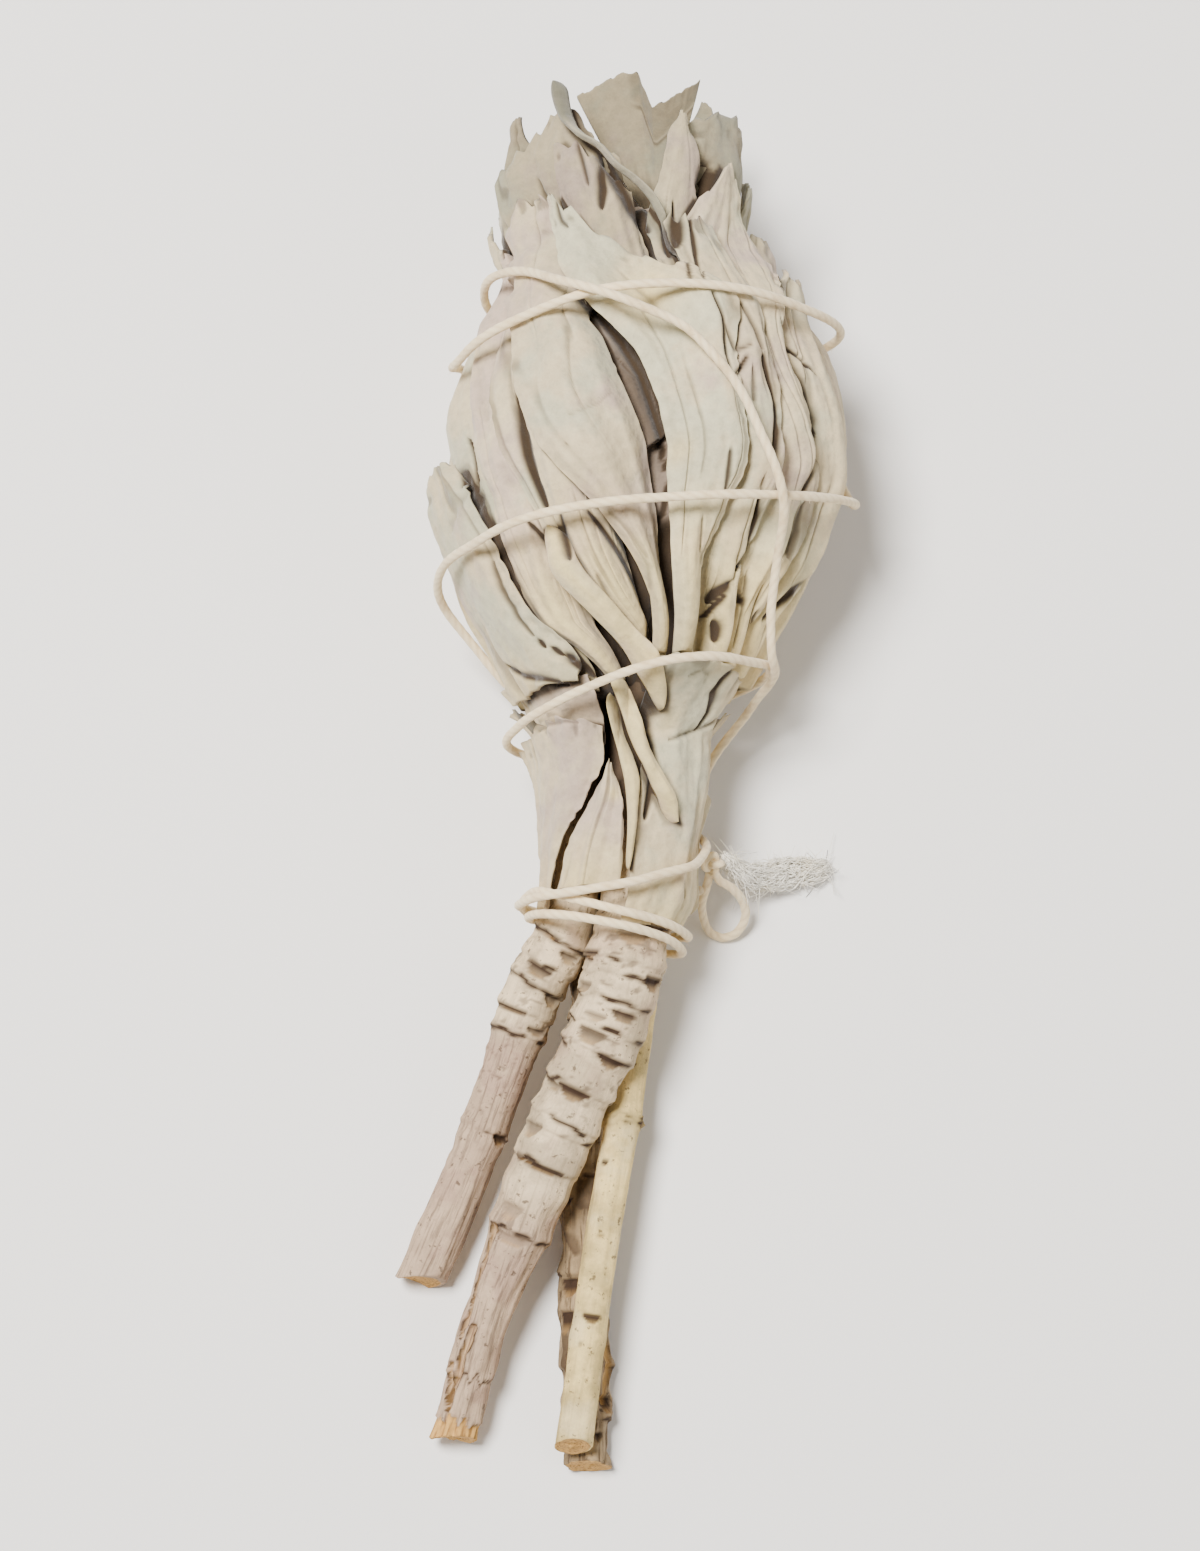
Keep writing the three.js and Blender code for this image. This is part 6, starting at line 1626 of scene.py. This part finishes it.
class Bark:
    """The bark of a shoot, over a grid of stations along it and turns round it.

    out: how far it stands out from the shoot's smooth radius. scars_and_shade: how dark its scars, rings,
    tears and cracks are, with painted shade where it goes into the neck. wood: where the bark is off and the
    wood is bare.
    """

    def __init__(self, name, seed, sizes):
        self.name, self.shoot, self.seed, self.sizes = name, SHOOTS[name], seed, sizes
        path = self.shoot["path"][::-1]
        line_x, line_z, self.line_r = (through([(p[1], p[k]) for p in path]) for k in (0, 2, 3))
        top, self.foot = path[-1][1], path[0][1]
        hidden = np.arange(top, HEAD_ENDS, -HIDDEN_STEP)
        shown = np.arange(HEAD_ENDS, self.foot, -sizes.ring_step / MM)
        stations = np.concatenate([hidden, shown, [self.foot]])
        self.y = stations[:, None]
        self.centre = np.stack([line_x(stations), stations, line_z(stations)], 1)
        self.turn = np.linspace(0, 360, SHOOT_SIDES[name], endpoint=False)[None, :]
        self.cosine, self.sine = np.cos(np.radians(self.turn)), np.sin(np.radians(self.turn))
        self.radius = self.line_r(self.y) + 0 * self.turn
        self.wood, self.scars_and_shade = np.zeros(self.radius.shape), np.zeros(self.radius.shape)
        self.out = self.furrows()

    def over_section(self, size, shift_across, shift_up, stream):
        """Noise over the shoot's section, in lumps of a size, shifted along the shoot."""
        across, up = self.radius * self.cosine / size, self.radius * self.sine / size
        return self.noise(across + shift_across, up + shift_up, stream)

    def noise(self, x, y, stream):
        return noise(x, y, self.seed + stream)

    def darken(self, amount):
        self.scars_and_shade = np.maximum(self.scars_and_shade, amount)

    def bare(self, amount):
        self.wood = np.maximum(self.wood, amount)

    def furrows(self):
        """The furrows and lumps of the bark, and the flakes of a rough one."""
        y = self.y
        furrows = self.over_section(0.7, y / 23, y / 19, 0)
        furrows = furrows + 0.6 * self.over_section(1.6, 0, y / 1.8, 1)
        rough = ROUGHNESS.get(self.name, 1.0)
        ridged = ease(-62, -54, y) * (self.name in SMOOTH_BARK)
        out = rough * (1 - 0.75 * ridged) * self.sizes.furrow / MM * furrows
        out = out + 0.16 * rough * self.over_section(3, 0, y / 3.4, 2)
        out = out + 0.1 * ridged * self.noise(self.turn / 34, y / 0.8, 17)
        if self.name == "rough_stem":
            flakes = np.maximum(0, self.over_section(1.1, 0, y / 2.2, 3) - 0.1)
            out = out + 0.5 * flakes
            self.darken(ease(0.1, 0.5, flakes) * 0.5)
        return out

    def swell(self, station):
        self.out = self.out + self.radius * SWELL * np.exp(-(((self.y - station) / SWELL_REACH) ** 2))

    def ring(self, station, highest):
        """A ring where a pair of leaves stood, with a broken dark line under it."""
        ripple = 0.35 * self.noise(self.turn / 24, 0 * self.y, 5)
        off = self.y - station + 0.45 * (1 - np.cos(np.radians(self.turn - highest))) + ripple
        lip = ease(-0.25, 0.1, off) * np.exp(-np.maximum(off, 0) / 0.9)
        self.out = self.out + self.sizes.ring / MM * lip
        broken = ease(-0.35, 0.3, self.noise(self.turn / 26, 0 * self.y, int(-station)))
        self.darken((0.2 + 0.7 * broken) * np.exp(-(((off + 0.25) / (0.14 + 0.2 * broken)) ** 2)))

    def leaf_scar(self, station, at, half, high, dark):
        """The dark hollow that a shoot's leaf left, narrowing downwards, with a raised rim."""
        half, high = half * SCAR_SIZE, high * SCAR_SIZE
        across = np.abs(turn_between(at, self.turn)) * np.radians(1) * self.radius
        down = (station - self.y) / high
        within = np.clip(down, 0, 1)
        narrowing = half * np.sqrt(np.clip(1 - within**1.4, 0.001, 1))
        inside = ease(0.12, -0.18, across - narrowing) * ease(-0.12, 0.08, down) * ease(1.12, 0.9, down)
        rim = np.exp(-(((across - narrowing) / 0.3) ** 2)) * ease(-0.2, 0.1, down) * ease(1.3, 1, down)
        self.out = self.out - 0.6 * inside * (1 - 0.6 * within) + 0.2 * rim
        edge = np.exp(-(((down - 0.12) * high / 0.36) ** 2)) * ease(0.2, -0.1, across - half)
        self.darken(dark * np.maximum((0.95 - 0.45 * within) * inside, edge))
        self.bare(0.25 * inside * ease(0.4, 0.9, down))

    def tear(self, half, deep, bare, line):
        """A place where a strip of bark is torn off."""
        near = np.full(self.radius.shape, np.inf)
        for (y0, t0), (y1, t1) in zip(line, line[1:]):
            run = (y1 - y0, turn_between(t0, t1) * math.radians(1) * self.line_r(y0))
            off_across = turn_between(t0, self.turn) * np.radians(1) * self.radius
            near = np.minimum(near, along_span(self.y - y0, off_across, run)[1])
        jag = half * (1 + 0.5 * self.noise(self.turn / 9, self.y / 0.9, 6))
        inside = ease(1.15, 0.7, near / jag)
        self.out = self.out - deep * inside
        self.bare(bare * inside)
        self.darken(0.9 * np.exp(-(((near / jag - 1) / 0.3) ** 2)))

    def crack(self):
        """The short cracks across the upper bark."""
        cracks = self.noise(self.turn / 15, self.y / 0.42, 14)
        cracks = cracks + 0.5 * self.noise(self.turn / 6, self.y / 0.5, 15)
        cracked = ease(0.5, 0.85, cracks) * ease(-60, -44, self.y) * ease(-17, -19, self.y)
        cracked = cracked * CRACKED.get(self.name, 0)
        self.out = self.out - 0.16 * cracked
        self.darken(0.8 * cracked)

    def end_bark(self, collar, sleeve):
        """The ragged ends of the outer bark, at the collar, and of the inner bark, at the sleeve."""
        turn, y = self.turn, self.y
        jag = 0.7 * self.noise(turn / 14, 0 * y, 7) + 0.3 * self.noise(turn / 5, 0 * y, 8)
        self.out = self.out - 0.28 * ease(collar + jag + 0.2, collar + jag - 0.2, y)
        self.darken(0.8 * np.exp(-(((y - collar - jag + 0.25) / 0.22) ** 2)))
        bare = ease(sleeve + jag + 0.15, sleeve + jag - 0.15, y)
        splinter = 0.2 * self.noise(turn / 7, y / 4, 9)
        self.out = self.out - bare * (self.sizes.tear / MM + splinter)
        self.bare(bare)
        self.darken(0.7 * np.exp(-(((y - sleeve - jag + 0.2) / 0.2) ** 2)))

    def worn(self):
        """Where the bark is worn smooth, from 0 to 1."""
        if self.name not in SMOOTH_BARK:
            return 0 * self.radius
        uneven = 1.5 * self.noise(self.turn / 30, self.y / 6, 16)
        return ease(*SMOOTH_BARK[self.name], self.y + uneven) + 0 * self.turn

    def grid(self):
        """The points of the bark, and after them those of the cut across the foot."""
        along = -frames_along(self.centre)[0]
        side = unit(np.cross(along, [0, 0, 1.0]))
        up = np.cross(side, along)
        away = side[:, None] * self.cosine[..., None] + up[:, None] * self.sine[..., None]
        grid = self.centre[:, None] + (self.radius + self.out)[..., None] * away
        cut_at = self.foot + SLANT[self.name] * (0.5 + 0.5 * self.sine)
        grid[..., 1] = np.maximum(grid[..., 1], cut_at)
        grid[..., 2] = np.maximum(grid[..., 2], 0.0)
        rings, heart = [grid], grid[-1].mean(0)
        for inset, push in CUT_RINGS:
            rough_cut = 0.14 * self.noise(self.turn / 19, 0 * self.turn + inset * 9, 0)
            cut = heart + (grid[-1:] - heart) * inset
            rings.append(cut + along[-1] * (push + rough_cut[..., None]))
        return np.concatenate(rings)

    def marks(self):
        """The marks of the bark's finish, at the points of its grid."""
        cut = np.ones((len(CUT_RINGS), SHOOT_SIDES[self.name]))
        inwards = np.array([[inset] for inset, _ in CUT_RINGS])
        straight = {
            "Across": self.radius * self.cosine, "Upward": self.radius * self.sine,
            "Along": 0.07 * self.y + 0 * self.turn,
        }
        marks = {
            key: np.concatenate([part, part[-1:] * inwards]).ravel() * MM for key, part in straight.items()
        }
        marks["Worn Mask"] = np.concatenate([self.worn(), 0 * cut]).ravel()
        marks["Wood Mask"] = np.concatenate([self.wood, cut]).ravel()
        marks["Scar Mask"] = np.clip(np.concatenate([self.scars_and_shade, 0 * cut]), 0, 1).ravel()
        return marks


class SAGE_OT_stems(bpy.types.Operator):
    """Make the four woody stems with their scars, furrows and cut feet"""

    bl_idname = "sage.stems"
    bl_label = "Stems"

    def execute(self, context):
        colours = context.scene.sage_colours
        woody = finish("Bark", "Woody Bark", Worn=colours.bark_lilac, Lines=0.55)
        pale = finish("Bark", "Pale Bark", Bark=colours.pale_bark, Worn=shade(230, 212, 168), Lines=0.4)
        rough = finish("Bark", "Rough Bark", Bark=colours.rough_bark, Worn=shade(190, 166, 132), Lines=2.2)
        finishes = {
            "main_stem": (woody, "woody_stem"), "left_stem": (woody, "woody_stem"),
            "pale_stem": (pale, "pale_stem"), "rough_stem": (rough, "rough_stem"),
        }
        for seed, name in enumerate(SHOOTS, 1):
            self.stem(Bark(name, seed, context.scene.sage_stems), *finishes[name])
        return {"FINISHED"}

    def stem(self, bark, material, slot):
        shoot = bark.shoot
        for station in shoot["swells"]:
            bark.swell(station)
        for row in shoot["rings"]:
            bark.ring(*row)
        for row in shoot["scars"]:
            bark.leaf_scar(*row)
        for row in shoot["tears"]:
            bark.tear(*row)
        bark.crack()
        if "bark_ends" in shoot:
            bark.end_bark(*shoot["bark_ends"])
        bark.scars_and_shade = bark.scars_and_shade * SCAR_STRENGTH
        # painted shade where the shoots go into the dark of the neck
        bark.darken(ease(*NECK_SHADE, bark.y) * NECK_DARK)
        grid = bark.grid()
        faces = ring_faces(len(grid), SHOOT_SIDES[bark.name])
        make_piece(bark.name + "_bark", grid.reshape(-1, 3), faces, material, bark.name, bark.marks())


# ---- pieces: the binding
BINDING_STEP, BINDING_SIDES = 0.4, 16
WHISKER_RADIUS = 0.02
WHISKER_FLOOR = 0.03
WHISKER_SEED = 11
KNOT = np.array([15.4, -15.4, 12.4])
KNOT_RADIUS = 0.85
KNOT_TURN = 1.1  # how far the knot leans, in radians
KNOT_RINGS, KNOT_SIDES = 150, 20
KNOT_TWINE = 0.86  # the twine is thinner where the knot is pulled tight


class SAGE_OT_binding(bpy.types.Operator):
    """Wind the twine round the bunch and tie its knot"""

    bl_idname = "sage.binding"
    bl_label = "Binding"

    def execute(self, context):
        sizes = context.scene.sage_twine
        radius, lay = sizes.radius / MM, sizes.lay / MM
        line = even_steps(twine_line(finished_pile(context), sizes), BINDING_STEP)
        points, faces, cotton_painted_shade = twisted(line, radius, lay, BINDING_SIDES, BINDING_STEP)
        strays, stray_faces = self.whiskers(line, radius, sizes.whiskers)
        points, faces = join([(points, faces), (strays, stray_faces)])
        cotton_painted_shade = np.concatenate([cotton_painted_shade, np.zeros(len(strays))])
        twine_piece("binding_cord", "twine_binding", points, faces, cotton_painted_shade)
        twine_piece("knot_cord", "twine_knot", *self.knot(radius, lay))
        return {"FINISHED"}

    def knot(self, radius, lay):
        """The knot: twine round a closed trefoil line."""
        turn = np.linspace(0, 2 * np.pi, KNOT_RINGS, endpoint=False)
        out = KNOT_RADIUS * (1 + 0.55 * np.cos(3 * turn))
        rise = KNOT_RADIUS * 0.95 * np.sin(3 * turn)
        x, y = out * np.cos(2 * turn), out * np.sin(2 * turn) * 0.9
        sine, cosine = math.sin(KNOT_TURN), math.cos(KNOT_TURN)
        loop = np.stack([x, cosine * y - sine * rise, sine * y + cosine * rise], 1) + KNOT
        step = float(np.linalg.norm(np.diff(loop, axis=0), axis=1).mean())
        turns = round(step * len(loop) / lay * PLIES) / PLIES
        return twisted(loop, radius * KNOT_TWINE, step * len(loop) / turns, KNOT_SIDES, step, closed=True)

    def whiskers(self, line, radius, count):
        """Short stray fibres that stand off the twine."""
        draw = np.random.default_rng(WHISKER_SEED)
        along, side, up = frames_along(line)
        parts = []
        for _ in range(count):
            i = int(draw.integers(2, len(line) - 2))
            out = around_line(side[i], up[i], draw.uniform(0, 2 * np.pi))
            start = line[i] + out * radius * 0.8
            lean = along[i] * draw.normal(0, 1.2) + np.cross(along[i], out) * draw.normal(0, 0.8)
            lean = unit(out * draw.uniform(0.2, 1.0) + lean)
            bent = lean + out * draw.normal(0, 0.4)
            steps = np.array([lean, bent, lean * 0.7 + along[i] * draw.normal(0, 0.5)])
            parts.append(whisker(start, steps * draw.uniform(0.12, 0.4), WHISKER_RADIUS))
        points, faces = join(parts)
        points[:, 2] = np.maximum(points[:, 2], WHISKER_FLOOR)
        return points, faces


# ---- the stage
FLOOR_HALF = 3.0  # from the floor's middle to its edge, in metres
ROOM_COLOUR = (1.0, 0.98, 0.955, 1)
LAMPS = {  # place and width in metres, and colour
    "key_light": ((-0.26, 0.1, 0.9), 0.3, (1.0, 0.975, 0.94)),
    "fill_light": ((0.6, -0.35, 0.6), 0.6, (1.0, 0.98, 0.95)),
}


class SAGE_OT_stage(bpy.types.Operator):
    """Lay the pale floor and hang the soft lights"""

    bl_idname = "sage.stage"
    bl_label = "Stage"

    def execute(self, context):
        settings = context.scene.sage_stage
        self.floor(context)
        for name, power in (("key_light", settings.key), ("fill_light", settings.fill)):
            self.lamp(name, power, *LAMPS[name])
        world = bpy.data.worlds.new("room")
        world.use_nodes = True
        background = world.node_tree.nodes["Background"]
        background.inputs["Color"].default_value = ROOM_COLOUR
        background.inputs["Strength"].default_value = settings.sky
        context.scene.world = world
        return {"FINISHED"}

    def floor(self, context):
        half = FLOOR_HALF
        corners = [(-half, -half, 0), (half, -half, 0), (half, half, 0), (-half, half, 0)]
        mesh = bpy.data.meshes.new("floor")
        mesh.from_pydata(corners, [], [(0, 1, 2, 3)])
        floor = add_object("floor", mesh)
        material = bpy.data.materials.new("Pale Floor")
        material.use_nodes = True
        shader = material.node_tree.nodes["Principled BSDF"]
        shader.inputs["Base Color"].default_value = context.scene.sage_colours.floor
        shader.inputs["Roughness"].default_value = 0.9
        mesh.materials.append(material)

    def lamp(self, name, power, place, size, colour):
        data = bpy.data.lights.new(name, "AREA")
        data.shape, data.size, data.energy, data.color = "DISK", size, power, colour
        lamp = add_object(name, data)
        lamp.location = place
        lamp.rotation_euler = (-Vector(place)).to_track_quat("-Z", "Y").to_euler()


# ---- the panel
class SAGE_PT_panel(bpy.types.Panel):
    """The bunch's pieces and sizes"""

    bl_idname = "SAGE_PT_panel"
    bl_label = "Sage Bunch"
    bl_space_type = "VIEW_3D"
    bl_region_type = "UI"
    bl_category = "Sage Bunch"

    def draw(self, context):
        for operator in OPERATORS:
            self.layout.operator(operator.bl_idname)
        for name in GROUPS:
            settings = getattr(context.scene, name)
            box = self.layout.box()
            for prop in settings.bl_rna.properties:
                if prop.identifier not in ("rna_type", "name"):
                    box.prop(settings, prop.identifier)


OPERATORS = (
    SAGE_OT_camera, SAGE_OT_twine_ends, SAGE_OT_leaves, SAGE_OT_packed_middle, SAGE_OT_stems, SAGE_OT_binding,
    SAGE_OT_stage,
)
GROUPS = {
    "sage_leaves": SageLeafSizes, "sage_twine": SageTwineSizes, "sage_stems": SageStemSizes,
    "sage_colours": SageColours, "sage_stage": SageStage,
}


def register():
    for cls in (*GROUPS.values(), *OPERATORS, SAGE_PT_panel):
        bpy.utils.register_class(cls)
    for name, cls in GROUPS.items():
        setattr(bpy.types.Scene, name, PointerProperty(type=cls))


def unregister():
    for name in GROUPS:
        delattr(bpy.types.Scene, name)
    for cls in (SAGE_PT_panel, *OPERATORS[::-1], *list(GROUPS.values())[::-1]):
        bpy.utils.unregister_class(cls)


def main():
    register()
    bpy.ops.sage.camera()
    bpy.ops.sage.twine_ends()
    bpy.ops.sage.leaves()
    bpy.ops.sage.packed_middle()
    bpy.ops.sage.stems()
    bpy.ops.sage.binding()
    bpy.ops.sage.stage()


if __name__ == "__main__":
    main()
